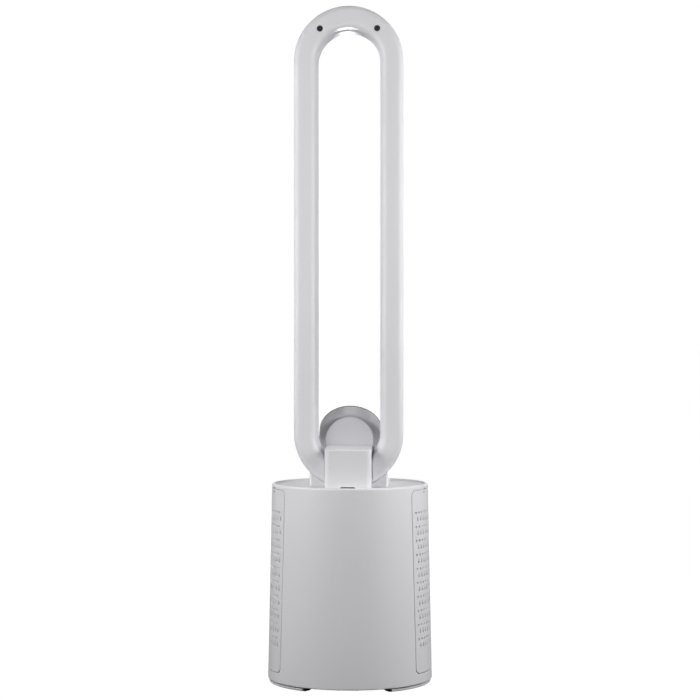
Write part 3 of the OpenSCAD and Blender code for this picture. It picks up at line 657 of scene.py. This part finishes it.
def body_half(bm, side):
    k = 1.85
    cols = [-90 + STEP * i for i in range(121)]
    for depth, z0, z1, off in ((0.0, 9.5, 260.6, 0.35), (2.6, 12.0, 259.7, 0.0)):
        rows = [z0 + (z1 - z0) * i / 50 for i in range(51)]
        edge = ([(a, z0) for a in cols] + [(90, z) for z in rows[1:-1]] + [(a, z1) for a in reversed(cols)] + [(-90, z) for z in reversed(rows[1:-1])])
        hole = [(degrees(asin(y / (r_at(z) - depth))), z) for y, z in opening(off)]
        grid = [(a * k, z) for a in cols[1:-1] for z in rows[1:-1]]
        pts, tris = triangulate([[(a * k, z) for a, z in edge], [(a * k, z) for a, z in hole]], grid, 1.3)
        made = []
        n0, n1 = len(edge), len(edge) + len(hole)
        hole_yz = opening(off)
        for i, (s, z) in enumerate(pts):
            if n0 <= i < n1:
                made.append(bm.verts.new(Vector(on_cone(*hole_yz[i - n0], depth, side)) * MM))
            else:
                a, r = radians(s / k), r_at(z) - depth
                made.append(bm.verts.new((side * r * cos(a) * MM, r * sin(a) * MM, z * MM)))
        add_tris(bm, made, tris, depth > 0)
        if depth == 0:
            start = made[n0:n1]
        else:
            strip_rings(bm, start, [[on_cone(y, z, d, side) for y, z in opening(o)] for o, d in ((0.10, 0.09), (0.0, 0.33))], made[n0:n1])
    # ledge behind the door's edge
    rings = [(132, 15.6, 259.1, 9.0, 2.5), (120.4, 21.1, 256.4, 4.9, 2.5), (119.6, 21.5, 256.0, 4.5, 2.9),
             (119.6, 21.5, 256.0, 4.5, 4.4), (132, 15.6, 259.1, 9.0, 4.4)]
    made = [ring(bm, [on_cone(y, z, d, side) for y, z in rrect(w, z0, z1, r)]) for w, z0, z1, r, d in rings]
    for a, b in zip(made, made[1:] + made[:1]):
        closed_strip(bm, a, b)


def band(bm, profile):
    """Open strip of revolution whose columns stand at the same angles as the shell's."""
    cols = [[bm.verts.new((r * cos(radians(-90 + STEP * i)) * MM, r * sin(radians(-90 + STEP * i)) * MM, z * MM)) for r, z in profile] for i in range(240)]
    for i in range(240):
        a, b = cols[i], cols[(i + 1) % 240]
        for j in range(len(profile) - 1):
            bm.faces.new((a[j], b[j], b[j + 1], a[j + 1]))


bm = bmesh.new()
body_half(bm, 1)
body_half(bm, -1)
band(bm, [(r_at(260.6), 260.6)] + [(101 + 2.97 * cos(radians(a)), 261.7 + 3 * sin(radians(a))) for a in range(4, 91, 8)]
     + [(100.7, 264.68), (100.35, 264.56), (100.05, 264.35), (99.8, 264.02), (99.6, 263.65), (99.4, 263.25), (99.18, 262.9), (98.9, 262.58),
        (98.55, 262.32), (98.2, 262.14), (97.9, 262.05), (97.76, 261.98), (97.7, 261.85), (97.7, 259.1), (r_at(259.7) - 2.6, 259.7)])
band(bm, [(r_at(9.5), 9.5), (109.28, 8.0), (109.26, 7.0), (109.2, 6.4), (109.08, 6.0), (108.88, 5.68), (108.6, 5.44), (108.25, 5.32), (107.9, 5.3),
          (104.5, 5.3), (104.1, 5.42), (103.98, 5.75), (r_at(12.0) - 2.6, 12.0)])
lathe(bm, rounded([(95.8, 257.5, 0.3), (101.5, 257.5, 0), (101.7, 259.4, 0), (95.8, 259.4, 0.3)]), 240)
for sx in (-1, 1):
    for sy in (-1, 1):
        place = Matrix.Translation((sx * 49.5 * MM, sy * 85.7 * MM, 0))
        lathe(bm, rounded([(1.45, 20.1, 0.2), (4.4, 20.1, 0.3), (4.4, 36, 0.6), (1.45, 36, 0.2)]), 32, place)
        a = atan2(sy * 85.7, sx * 49.5)
        u, v = (cos(a), sin(a)), (-sin(a), cos(a))
        out = [(101.5, -1.5), (106.4, -1.5), (106.4, 1.5), (101.5, 1.5)]
        stack(bm, [[(p * u[0] + q * v[0], p * u[1] + q * v[1], z) for p, q in out] for z in (21, 35)])
shell = as_object("base_shell", bm, M["shell_white"])


def catch_slot(side, s):
    """Cutter for the thumb slot above a door's top edge."""
    bm = bmesh.new()
    a = radians(18 * s)
    for w, z0, z1, depth in ((9.0, 258.7, 260.7, 102.4), (4.0, 262.4, 263.6, 103.1)):
        out = rrect(w, z0, z1, 0.55, 5, 1, 1)
        stack(bm, [[(side * (x * cos(a) - y * sin(a)), x * sin(a) + y * cos(a), z) for y, z in out] for x in (depth, 112.0)])
    return as_object("cut", bm, M["shell_white"])


carve(shell, [catch_slot(a, b) for a in (-1, 1) for b in (-1, 1)])
# faces on the rim's inner slope take the brighter copy of the white: painted light where the slope is in shade
shell.data.materials.append(M["rim_white"])
for f in shell.data.polygons:
    if f.center.z > 0.26195 and 0.0977 < (f.center.x ** 2 + f.center.y ** 2) ** 0.5 < 0.1003:
        f.material_index = len(shell.data.materials) - 1
piece(shell, "housing", "shell_white", "body_shell")


def door_outline(o):
    """Door's edge, drawn in by -o or out by +o."""
    return rrect(124.2 + 2 * o, 19.4 - o, 258.6 + o, 7.0 + o)


def poly_out(corners, o, r):
    """A convex outline moved out by o, with rounded corners; always the same number of points."""
    n = len(corners)
    moved = []
    area = sum(corners[i - 1][0] * corners[i][1] - corners[i][0] * corners[i - 1][1] for i in range(n))
    turn = 1 if area > 0 else -1
    for i in range(n):
        p, a, b = Vector(corners[i]), Vector(corners[i - 1]), Vector(corners[(i + 1) % n])
        d0, d1 = (p - a).normalized(), (b - p).normalized()
        n0, n1 = Vector((d0.y, -d0.x)) * turn, Vector((d1.y, -d1.x)) * turn
        m = n0 + n1
        moved.append(p + m * (o / (1 + n0.dot(n1))))
    out = []
    for i in range(n):
        p, a, b = moved[i], moved[i - 1], moved[(i + 1) % n]
        da, db = (a - p).normalized(), (b - p).normalized()
        half = da.angle(db) / 2
        t = min(r / tan(half), 0.46 * (a - p).length, 0.46 * (b - p).length)
        rr_ = t * tan(half)
        c = p + (da + db).normalized() * (rr_ / sin(half))
        p0, p1 = p + da * t - c, p + db * t - c
        a0 = atan2(p0.y, p0.x)
        d = (atan2(p1.y, p1.x) - a0 + pi) % (2 * pi) - pi
        out += [(c.x + rr_ * cos(a0 + d * j / 4), c.y + rr_ * sin(a0 + d * j / 4)) for j in range(5)]
    return out


def door(name, side):
    bm = bmesh.new()
    cuts = []  # (outline as a function of its widening, depth, or None where it goes right through)
    for k in range(10):
        z = 229.1 - 18.35 * k
        for i in range(-7, 8):
            y = -side * 106 * sin(radians((i + 0.25) * 4.36))
            cuts.append((lambda o, y=y, z=z: [(y + (1.8 + o) * cos(2 * pi * j / 24), z + (1.8 + o) * sin(2 * pi * j / 24)) for j in range(24)], None))
        for i in range(-7, 8):
            y = -side * 106 * sin(radians((i - 0.25) * 4.36))
            cuts.append((lambda o, y=y, z=z: poly_out([(y - 2.0, z - 10.9), (y + 2.0, z - 10.9), (y + 0.3, z - 4.2), (y - 0.3, z - 4.2)], o, 0.28 + o), None))
    for s in (-1, 1):
        y = s * 32.2
        cuts.append((lambda o, y=y: poly_out([(y - 1.9, 256.4), (y + 1.9, 256.4), (y, 253.0)], o, 0.3 + max(o, 0)), 1.3))
    rim, lip = -0.38, 0.24
    grid = [(-61.6 + 2.9 * i + (1.45 if j % 2 else 0), 20.5 + 2.6 * j) for i in range(44) for j in range(93)]
    loops = [door_outline(rim)] + [c(lip) for c, _ in cuts]
    pts, tris = triangulate(loops, grid, 0.85)
    # outer face, then the edges and holes, then the inner face
    outer = [bm.verts.new(Vector(on_cone(y, z, 0.0, side)) * MM) for y, z in pts]
    add_tris(bm, outer, tris, False)
    inner_pts = list(pts)
    at = len(loops[0])
    inner_pts[:at] = door_outline(-0.15)
    for (c, depth), loop in zip(cuts, loops[1:]):
        if depth is None:
            inner_pts[at:at + len(loop)] = c(0.0)
        at += len(loop)
    back = [bm.verts.new(Vector(on_cone(y, z, 2.2, side)) * MM) for y, z in inner_pts]
    add_tris(bm, back, tris, True)
    at = len(loops[0])
    first = len(bm.faces)
    strip_rings(bm, outer[:at], [[on_cone(y, z, d, side) for y, z in door_outline(o)] for o, d in ((-0.12, 0.09), (0.0, 0.36), (0.0, 2.0))], back[:at])
    # edge faces more than 0.3 mm deep in the seam take the dark grey: painted shade of the gap
    for f in list(bm.faces)[first:]:
        p = f.calc_center_median() / MM
        if r_at(p.z) - (p.x ** 2 + p.y ** 2) ** 0.5 > 0.3:
            f.material_index = 1
    for (c, depth), loop in zip(cuts, loops[1:]):
        n = len(loop)
        if depth is None:
            strip_rings(bm, outer[at:at + n], [[on_cone(y, z, d, side) for y, z in c(o)] for o, d in ((0.07, 0.07), (0.0, 0.24))], back[at:at + n])
        else:
            end = strip_rings(bm, outer[at:at + n], [[on_cone(y, z, d, side) for y, z in c(o)] for o, d in ((0.07, 0.07), (0.0, 0.24), (-0.04, depth))])
            bm.faces.new(end)
            bm.faces.new(back[at:at + n])
        at += n
    # two shelves for the filter frame
    for z in (30.0, 244.0):
        r = r_at(z) - 1.5
        arc = [(side * sqrt(r * r - y * y), y) for y in [-50 + 100 * i / 32 for i in range(33)]]
        out = [(side * 84.2, 50.0), (side * 84.2, -50.0)] + arc
        stack(bm, [[(x, y, zz) for x, y in out] for zz in (z, z + 1.6)])
    ob = as_object(name, bm, M["door_white"], 50)
    # second slot: the dark grey of the painted seam shade
    ob.data.materials.append(M["seam_painted_shade_grey"])
    return ob


piece(door("door_panel_left", -1), "door_left", "shell_white", "filter_door_left")
piece(door("door_panel_right", 1), "door_right", "shell_white", "filter_door_right")
# inlaid triangles that point at the thumb slots
for name, side in (("left", -1), ("right", 1)):
    bm = bmesh.new()
    for s in (-1, 1):
        y = s * 32.2
        out = poly_out([(y - 1.9, 256.4), (y + 1.9, 256.4), (y, 253.0)], -0.1, 0.3)
        stack(bm, [[on_cone(p, z, d, side) for p, z in out] for d in (1.28, 0.05)])
    piece(as_object("door_marks_" + name, bm, M["mark_grey"]), "door_" + name, "inner_grey", normals=False)

# deck, sunk a little below the rim, in a darker copy of the white: painted shade
bm = bmesh.new()
lathe(bm, rounded([(38, 259.5, 0.2), (97.58, 259.5, 0.2), (97.58, 262, 0.1), (38, 262, 0.2)]), 240)
piece(as_object("deck", bm, M["deck_white"]), "housing", "shell_white", "top_deck")


# ------------------------------------------------------------------ neck, duct cover, pod
def rounded_top(outline, z0, top, r, foot=0.3, steps=5):
    """Rings of an upright block: outline(inset) gives (x, y) points, top(y) the height, r the radius of its top edge."""
    rings = [[(x, y, z0) for x, y in outline(foot)], [(x, y, z0 + foot) for x, y in outline(0)]]
    for i in range(steps + 1):
        a = pi / 2 * i / steps
        rings.append([(x, y, top(y) - r * (1 - sin(a))) for x, y in outline(r * (1 - cos(a)))])
    return rings


def neck_outline(i):
    return [(x, y) for x, y in rrect(103 - 2 * i, -48 + i, 45 - i, 3 - i * 0.9, 8, 12, 12)]


bm = bmesh.new()
stack(bm, rounded_top(neck_outline, 262.05, lambda y: 283.05, 0.9))
neck = as_object("neck", bm, M["shell_white"])
bm = bmesh.new()
stack(bm, [[(x, y, z) for x, y in rrect(98, -45.5, 42.5, 1.5, 6, 2, 2)] for z in (250, 280.5)])
carve(neck, [disc_y("cut", 72.25, -8.3, 60), as_object("cut", bm, M["shell_white"])])
soften(neck, 0.4, 40, lambda p: p.z > 262.6 and abs((p.x ** 2 + (p.z - 332.5) ** 2) ** 0.5 - 72.25) < 0.2 and p.y > -8.6)
piece(neck, "housing", "shell_white", "neck_saddle")


def cover_top(y):
    return 312.5 + (76 - y) * 3.5 / 57.6


def cover_outline(i, y_front=18.4):
    """Footprint of the duct cover, drawn in by i on its rear and sides: square in front, radius 7 behind."""
    x, y, r = 30.5 - i, 76 - i, 7 - i * 0.8
    out = [(x, y_front + (y - r - y_front) * k / 12) for k in range(12)]
    out += [(x - r + r * cos(radians(a)), y - r + r * sin(radians(a))) for a in range(0, 91, 9)]
    out += [(-q * (x - r) / 8, y) for q in range(-7, 8)]
    out += [(-x + r + r * cos(radians(a)), y - r + r * sin(radians(a))) for a in range(90, 181, 9)]
    out += [(-x, y_front + (y - r - y_front) * k / 12) for k in range(11, -1, -1)]
    out += [(-x + 2 * x * k / 8, y_front) for k in range(1, 8)]
    return out


bm = bmesh.new()
stack(bm, rounded_top(cover_outline, 262.05, cover_top, 1.1, 0.25))
cover = as_object("duct_cover", bm, M["shell_white"])
bm = bmesh.new()
rr = 5.0
stack(bm, [[(x, y, z if z < 250 else cover_top(y) - 2.2) for x, y in
            [(28.3, 0), (28.3, 73.8 - rr)] + [(28.3 - rr + rr * cos(radians(a)), 73.8 - rr + rr * sin(radians(a))) for a in range(10, 90, 10)]
            + [(28.3 - rr, 73.8), (-28.3 + rr, 73.8)] + [(-28.3 + rr + rr * cos(radians(a)), 73.8 - rr + rr * sin(radians(a))) for a in range(100, 180, 10)]
            + [(-28.3, 73.8 - rr), (-28.3, 0)]] for z in (240, 300)])
hollow = as_object("cut", bm, M["shell_white"])
under = [(-60, 332.5), (-60, 200), (60, 200), (60, 332.5), (40.6, 332.5)] + [(40.6 * cos(-pi * i / 96), 332.5 + 40.6 * sin(-pi * i / 96)) for i in range(1, 96)] + [(-40.6, 332.5)]
slot_cut = bmesh.new()
stack(slot_cut, [[(x, y, z) for x, z in rrect(18.6, 261, 264.3, 0.9, 4, 1, 1)] for y in (71, 80)])
carve(cover, [hollow, prism_y("cut", under, -5, 52.35), as_object("cut", slot_cut, M["shell_white"])])
soften(cover, 0.3, 40, lambda p: p.y < 53.5 and p.y > 18.6 and abs((p.x ** 2 + (p.z - 332.5) ** 2) ** 0.5 - 40.6) < 0.3 and abs(p.x) > 30.3)
piece(cover, "housing", "shell_white", "rear_duct_cover")


def arch(r, z0, n=48):
    """Half-round top on straight sides, down to z0."""
    out = [(r, z0 + (320.3 - z0) * k / 6) for k in range(6)]
    out += [(r * cos(pi * k / n), 320.3 + r * sin(pi * k / n)) for k in range(n + 1)]
    out += [(-r, z0 + (320.3 - z0) * k / 6) for k in range(5, -1, -1)]
    return out


TILT = Matrix.Translation((0, -0.022, 0.321)) @ Matrix.Rotation(radians(54), 4, "X")
T_N = (TILT.to_3x3() @ Vector((0, 0, 1))).normalized()


def keep_core(r, y0, y1):
    """Cutter: everything between y0 and y1 outside radius r of the loop's lower arc and below its centre."""
    out = [(-70, 332.5), (-70, 190), (70, 190), (70, 332.5), (r, 332.5)] + [(r * cos(-pi * i / 96), 332.5 + r * sin(-pi * i / 96)) for i in range(1, 96)] + [(-r, 332.5)]
    return prism_y("cut", out, y0, y1)


bm = bmesh.new()
stack(bm, [[(x, y, z) for x, z in arch(32.7 - i, 283.15 + i * 0.5)] for y, i in ((-50, 0), (-8, 0), (15.35, 0), (15.75, 0.12), (16, 0.45))])
pod = as_object("pod", bm, M["shell_white"])
carve(pod, [keep_core(40.4, -8.6, 60), prism_y("cut", arch(30.5, 240), -60, -10.8)])
core = disc_y("cut", 38.2, -30, 14.2, n=192)
carve(core, [prism_y("cut", arch(30.5, 240), -60, 60)], "INTERSECT")
carve(pod, [core])
bm = bmesh.new()
bm.from_mesh(pod.data)
cut = bmesh.ops.bisect_plane(bm, geom=bm.verts[:] + bm.edges[:] + bm.faces[:], plane_co=TILT @ Vector((0, 0, -0.0001)), plane_no=T_N, clear_outer=True)
bmesh.ops.holes_fill(bm, edges=[e for e in bm.edges if e.is_boundary], sides=0)
close_up(bm)
bm.to_mesh(pod.data)
bm.free()
piece(pod, "housing", "shell_white", "pod_body")

bm = bmesh.new()
stack(bm, [[(x, y, z) for x, z in arch(32.7 - i, 250)] for y, i in
           ((16.05, 0.2), (16.15, 0.06), (16.35, 0), (17.05, 0), (17.22, 0.07), (17.3, 0.25), (17.3, 0.72), (17.36, 0.8), (17.8, 0.8), (18.0, 0.87), (18.14, 1.02), (18.2, 1.3))])
cap = as_object("pod_cap", bm, M["shell_white"])
carve(cap, [keep_core(40.4, 0, 40), disc_y("cut", 5.5, 0, 40, 309, 48)])
piece(cap, "housing", "shell_white", "pod_rear_cap")

# ------------------------------------------------------------------ control drum
bm = bmesh.new()
lathe(bm, rounded([(9, 0, 0.3), (42.6, 0, 2.5), (42.6, 18.3, 0.3), (40.2, 18.3, 0.3), (40.2, 2.2, 1.0), (9, 2.2, 0.3)], 1.5), 192, TILT)
piece(as_object("drum", bm, M["drum_white"]), "housing", "shell_white", "drum_shell")
bm = bmesh.new()
lathe(bm, rounded([(39.62, 18.4, 0.2), (42.6, 18.4, 0.25), (42.6, 20, 0.6), (39.62, 20, 0.35)], 1.5), 192, TILT)
piece(as_object("drum_trim", bm, M["trim_dark"]), "housing", "trim_dark", "display_trim")
bm = bmesh.new()
lathe(bm, rounded([(0.001, 17.6, 0), (39.5, 17.6, 0.3), (39.5, 19.6, 0.8), (0.001, 19.6, 0)], 1.5), 192, TILT)
glass = piece(as_object("drum_glass", bm, M["glass_black"]), "housing", "glass_black", "display_glass")


def flat_mark(bm, outline, z0=19.58, z1=19.63):
    stack(bm, [[(x, y, z) for x, y in outline] for z in (z0, z1)])


def bar(bm, x0, y0, x1, y1, w, z1=19.63):
    """A stroke with round ends."""
    a = atan2(y1 - y0, x1 - x0)
    out = [(x1 + w / 2 * cos(a - pi / 2 + pi * k / 6), y1 + w / 2 * sin(a - pi / 2 + pi * k / 6)) for k in range(7)]
    out += [(x0 + w / 2 * cos(a + pi / 2 + pi * k / 6), y0 + w / 2 * sin(a + pi / 2 + pi * k / 6)) for k in range(7)]
    flat_mark(bm, out, 19.58, z1)


def bow(bm, cx, cy, r, a0, a1, w, z1=19.63):
    """A curved stroke with round ends."""
    n = max(6, int(abs(a1 - a0) / 8))
    out = [(cx + (r + w / 2) * cos(radians(a0 + (a1 - a0) * k / n)), cy + (r + w / 2) * sin(radians(a0 + (a1 - a0) * k / n))) for k in range(n + 1)]
    e = radians(a1)
    out += [(cx + r * cos(e) + w / 2 * cos(e + pi * k / 5), cy + r * sin(e) + w / 2 * sin(e + pi * k / 5)) for k in range(1, 5)]
    out += [(cx + (r - w / 2) * cos(radians(a1 + (a0 - a1) * k / n)), cy + (r - w / 2) * sin(radians(a1 + (a0 - a1) * k / n))) for k in range(n + 1)]
    e = radians(a0)
    out += [(cx + r * cos(e) + w / 2 * cos(e + pi + pi * k / 5), cy + r * sin(e) + w / 2 * sin(e + pi + pi * k / 5)) for k in range(1, 5)]
    flat_mark(bm, out, 19.58, z1)


SEGMENTS = {"2": "abged", "4": "fgbc"}


def digit(bm, x, y, h, which):
    """One seven-segment digit in slanting strokes; y is its middle."""
    w, t, g = h * 0.5, h * 0.105, h * 0.09
    lean = 0.09

    def at(u, v):
        return (x + u + v * lean, y + v)

    ends = {
        "a": ((-w / 2 + g, h / 2), (w / 2 - g, h / 2)), "g": ((-w / 2 + g, 0), (w / 2 - g, 0)), "d": ((-w / 2 + g, -h / 2), (w / 2 - g, -h / 2)),
        "f": ((-w / 2, g), (-w / 2, h / 2 - g)), "b": ((w / 2, g), (w / 2, h / 2 - g)),
        "e": ((-w / 2, -h / 2 + g), (-w / 2, -g)), "c": ((w / 2, -h / 2 + g), (w / 2, -g)),
    }
    for s in SEGMENTS[which]:
        (u0, v0), (u1, v1) = ends[s]
        bar(bm, *at(u0, v0), *at(u1, v1), t)


bm = bmesh.new()
digit(bm, -7.0, 4.5, 12.5, "2")
digit(bm, 3.6, 4.5, 12.5, "4")
bow(bm, 11.6, 9.6, 1.05, 0, 350, 0.5)
bow(bm, 15.6, 8.2, 2.2, 50, 310, 0.62)
piece(as_object("digit_marks", bm, M["digits"], place=TILT), "housing", "glass_black", normals=False)

bm = bmesh.new()
# power
bow(bm, 0, -24, 3.3, 115, 425, 0.62)
bar(bm, 0, -23.2, 0, -19.6, 0.62)
# slower, faster
bar(bm, -28.2, 4.5, -23.2, 4.5, 0.66)
bar(bm, 23.2, 4.5, 28.2, 4.5, 0.66)
bar(bm, 25.7, 2.0, 25.7, 7.0, 0.66)
# timer
bow(bm, -18.5, -15.5, 3.1, 0, 356, 0.55)
bar(bm, -18.5, -15.5, -18.5, -13.5, 0.5)
bar(bm, -18.5, -15.5, -17.1, -15.5, 0.5)
# swing
bow(bm, 18.5, -18.6, 5.2, 48, 132, 0.55)
bar(bm, 21.9, -14.7, 22.0, -12.6, 0.5)
bar(bm, 21.9, -14.7, 20.0, -14.0, 0.5)
bar(bm, 15.1, -14.7, 15.0, -12.6, 0.5)
bar(bm, 15.1, -14.7, 17.0, -14.0, 0.5)
bar(bm, 18.5, -18.3, 18.5, -16.0, 0.5)
# night mode
bow(bm, -9.5, 23.2, 3.0, 60, 300, 0.55)
bow(bm, -8.1, 23.2, 2.75, 80, 280, 0.5)
# level scale under the digits
for i in range(9):
    bar(bm, -12.8 + 3.2 * i, -8.4, -12.8 + 3.2 * i, -8.4 + 0.7 + 0.26 * i, 0.8)
# breeze
for i in range(3):
    bow(bm, 7.2, 21.6 + 1.7 * i, 1.25, 200, 340, 0.45)
    bow(bm, 9.7, 20.8 + 1.7 * i, 1.25, 20, 160, 0.45)
piece(as_object("printed_marks", bm, M["ink"], place=TILT), "housing", "glass_black", normals=False)

# ------------------------------------------------------------------ foot
bm = bmesh.new()
for a in (47, 133, 227, 313):
    lathe(bm, rounded([(90.3, 0, 0.5), (102.5, 0, 0.5), (102.5, 2.2, 0.25), (90.3, 2.2, 0.25)], 1.3), 22, a0=a - 10.5, a1=a + 10.5)
feet = as_object("feet", bm, M["rubber_black"], 60)
piece(feet, "foot", "rubber_black", "rubber_feet")


def sector(name, r0, r1, a0, a1, z0, z1):
    bm = bmesh.new()
    lathe(bm, [(r0, z0), (r1, z0), (r1, z1), (r0, z1)], max(4, round((a1 - a0) / 1.5)), a0=a0, a1=a1)
    return as_object(name, bm, M["base_grey"])


bm = bmesh.new()
lathe(bm, rounded([(90, 0.8, 0.2), (107.6, 0.8, 1.6), (107.6, 4.0, 0.5), (92, 4.0, 0.15), (92, 6.5, 0.5), (9.6, 6.5, 0.3), (9.6, 4.5, 0.3), (90, 4.5, 0.2)]), 240)
plate = as_object("foot_plate", bm, M["base_grey"])
for cutter in (sector("cut", 75.5, 77.1, 55, 125, 0.8, 4.7), sector("cut", 75.7, 91, 54.9, 57.6, 0.85, 4.75), sector("cut", 75.7, 91, 122.4, 125.1, 0.85, 4.75),
               sector("cut", 54, 62, 197, 203, 6, 14.6)):
    carve(plate, [cutter], "UNION")
for cutter in (sector("cut", 77, 130, 57.5, 122.5, -1, 4.5), block("cut", -13.05, 13.05, 45.95, 100, -1, 20)):
    carve(plate, [cutter])
for a in (47, 133, 227, 313):
    carve(plate, [sector("cut", 90.25, 102.55, a - 10.53, a + 10.53, -1, 2.25)])
for a in (30, 150, 210, 330):
    carve(plate, [as_object("cut", disc_z(50 * cos(radians(a)), 50 * sin(radians(a)), 1.5, 0, 7), M["base_grey"])])
soften(plate, 0.25, 50, lambda p: p.z < 4.2 and (p.x ** 2 + p.y ** 2) ** 0.5 > 92.5)
piece(plate, "foot", "base_grey", "base_plate")

# ------------------------------------------------------------------ carried-over nodes
def dress(names, key):
    for n in names.split():
        ob = nodes[n]
        ob.data.materials.clear()
        ob.data.materials.append(M[key])


dress("cord_tunnel", "base_grey")
dress("bottom_cover chassis_plate loop_cradle slit_spacers duct_posts fan_duct inlet_bellmouth plenum_cone diffuser door_catches filter_frame_left filter_frame_right", "inner_grey")
dress("ballast_plate swivel_post retaining_ring bottom_screws chassis_screws deck_screws loop_screws motor_shaft impeller_nut shaft_bearings", "steel")
dress("sun_gear glide_pads drive_pinion", "gear_acetal")
dress("power_inlet wire_harness digit_module", "plastic_black")
dress("motor_isolator", "rubber_black")
dress("duct_gasket", "foam_grey")
dress("motor_frame swing_motor", "aluminium")
dress("rotor_bell", "motor_steel")
dress("motor_stator", "copper_winding")
dress("impeller", "impeller_grey")
dress("display_board main_board power_board", "board_green")
dress("prefilter_left prefilter_right", "mesh_grey")
dress("filter_media_left filter_media_right", "filter_white")


# ------------------------------------------------------------------ floor and light
me = bpy.data.meshes.new("floor")
bm = bmesh.new()
bmesh.ops.create_circle(bm, cap_ends=True, segments=96, radius=60)
bm.to_mesh(me)
bm.free()
floor = bpy.data.objects.new("floor", me)
scene.collection.objects.link(floor)
fm = Mat("pale_floor", (0.03, 0.03, 0.03), 1.0)
fm.base(fm.mix(fm.noise(3, 2), (0.025, 0.025, 0.025), (0.035, 0.035, 0.035)))
fm.s.inputs["Specular IOR Level"].default_value = 0.0
fm.s.inputs["Emission Color"].default_value = (1, 1, 1, 1)
fm.s.inputs["Emission Strength"].default_value = 1.0
floor.data.materials.append(fm.m)
floor.visible_diffuse = False
floor.visible_glossy = False


def softbox(name, at, to, size, power, colour=(1, 1, 1)):
    d = bpy.data.lights.new(name, "AREA")
    d.shape = "RECTANGLE"
    d.size, d.size_y = size
    d.energy = power
    d.color = colour
    ob = bpy.data.objects.new(name, d)
    scene.collection.objects.link(ob)
    ob.location = at
    ob.rotation_euler = (Vector(to) - Vector(at)).to_track_quat("-Z", "Y").to_euler()
    ob.visible_camera = False
    return ob


for name, at, size, power in (
    ("left_wide", (0.95, 0.55, 0.66), (0.5, 0.8), 7.5), ("left_rear", (0.70, 1.0, 0.70), (0.35, 0.8), 3.55), ("left_side", (1.1, 0.0, 0.66), (0.5, 0.8), 1.4),
    ("right_wide", (-0.95, 0.55, 0.66), (0.5, 0.8), 7.1), ("right_rear", (-0.75, 1.0, 0.70), (0.35, 0.8), 2.1), ("right_side", (-1.1, 0.0, 0.66), (0.5, 0.8), 4.3),
    ("left_fore", (0.95, -0.6, 0.7), (0.5, 0.8), 0.9), ("right_fore", (-0.95, -0.6, 0.7), (0.5, 0.8), 1.2), ("front", (0.2, -2.6, 1.4), (1.8, 1.6), 10.2)):
    softbox(name, at, (0, 0, 0.5), size, power)
softbox("front_low", (0.0, -2.0, 0.13), (0, 0, 0.4), (0.4, 0.2), 15)
softbox("top", (0, -0.55, 2.9), (0, -0.55, 0), (1.4, 2.4), 14.5)

world = bpy.data.worlds.new("studio")
scene.world = world
world.use_nodes = True
wt = world.node_tree
wt.nodes.clear()
out = wt.nodes.new("ShaderNodeOutputWorld")
mixer = wt.nodes.new("ShaderNodeMixShader")
rays = wt.nodes.new("ShaderNodeLightPath")
fill = wt.nodes.new("ShaderNodeBackground")
plain = wt.nodes.new("ShaderNodeBackground")
co = wt.nodes.new("ShaderNodeTexCoord")
sep = wt.nodes.new("ShaderNodeSeparateXYZ")
ramp = wt.nodes.new("ShaderNodeMapRange")
wt.links.new(co.outputs["Generated"], sep.inputs[0])
wt.links.new(sep.outputs["Z"], ramp.inputs["Value"])
ramp.inputs["From Min"].default_value = -1
ramp.inputs["From Max"].default_value = 1
ramp.inputs["To Min"].default_value = 0.01
ramp.inputs["To Max"].default_value = 0.02
wt.links.new(ramp.outputs["Result"], fill.inputs["Strength"])
fill.inputs["Color"].default_value = (0.985, 0.985, 1.0, 1)
plain.inputs["Color"].default_value = (1, 1, 1, 1)
plain.inputs["Strength"].default_value = 1.02
wt.links.new(rays.outputs["Is Camera Ray"], mixer.inputs[0])
wt.links.new(fill.outputs[0], mixer.inputs[1])
wt.links.new(plain.outputs[0], mixer.inputs[2])
wt.links.new(mixer.outputs[0], out.inputs["Surface"])

bpy.context.view_layer.update()
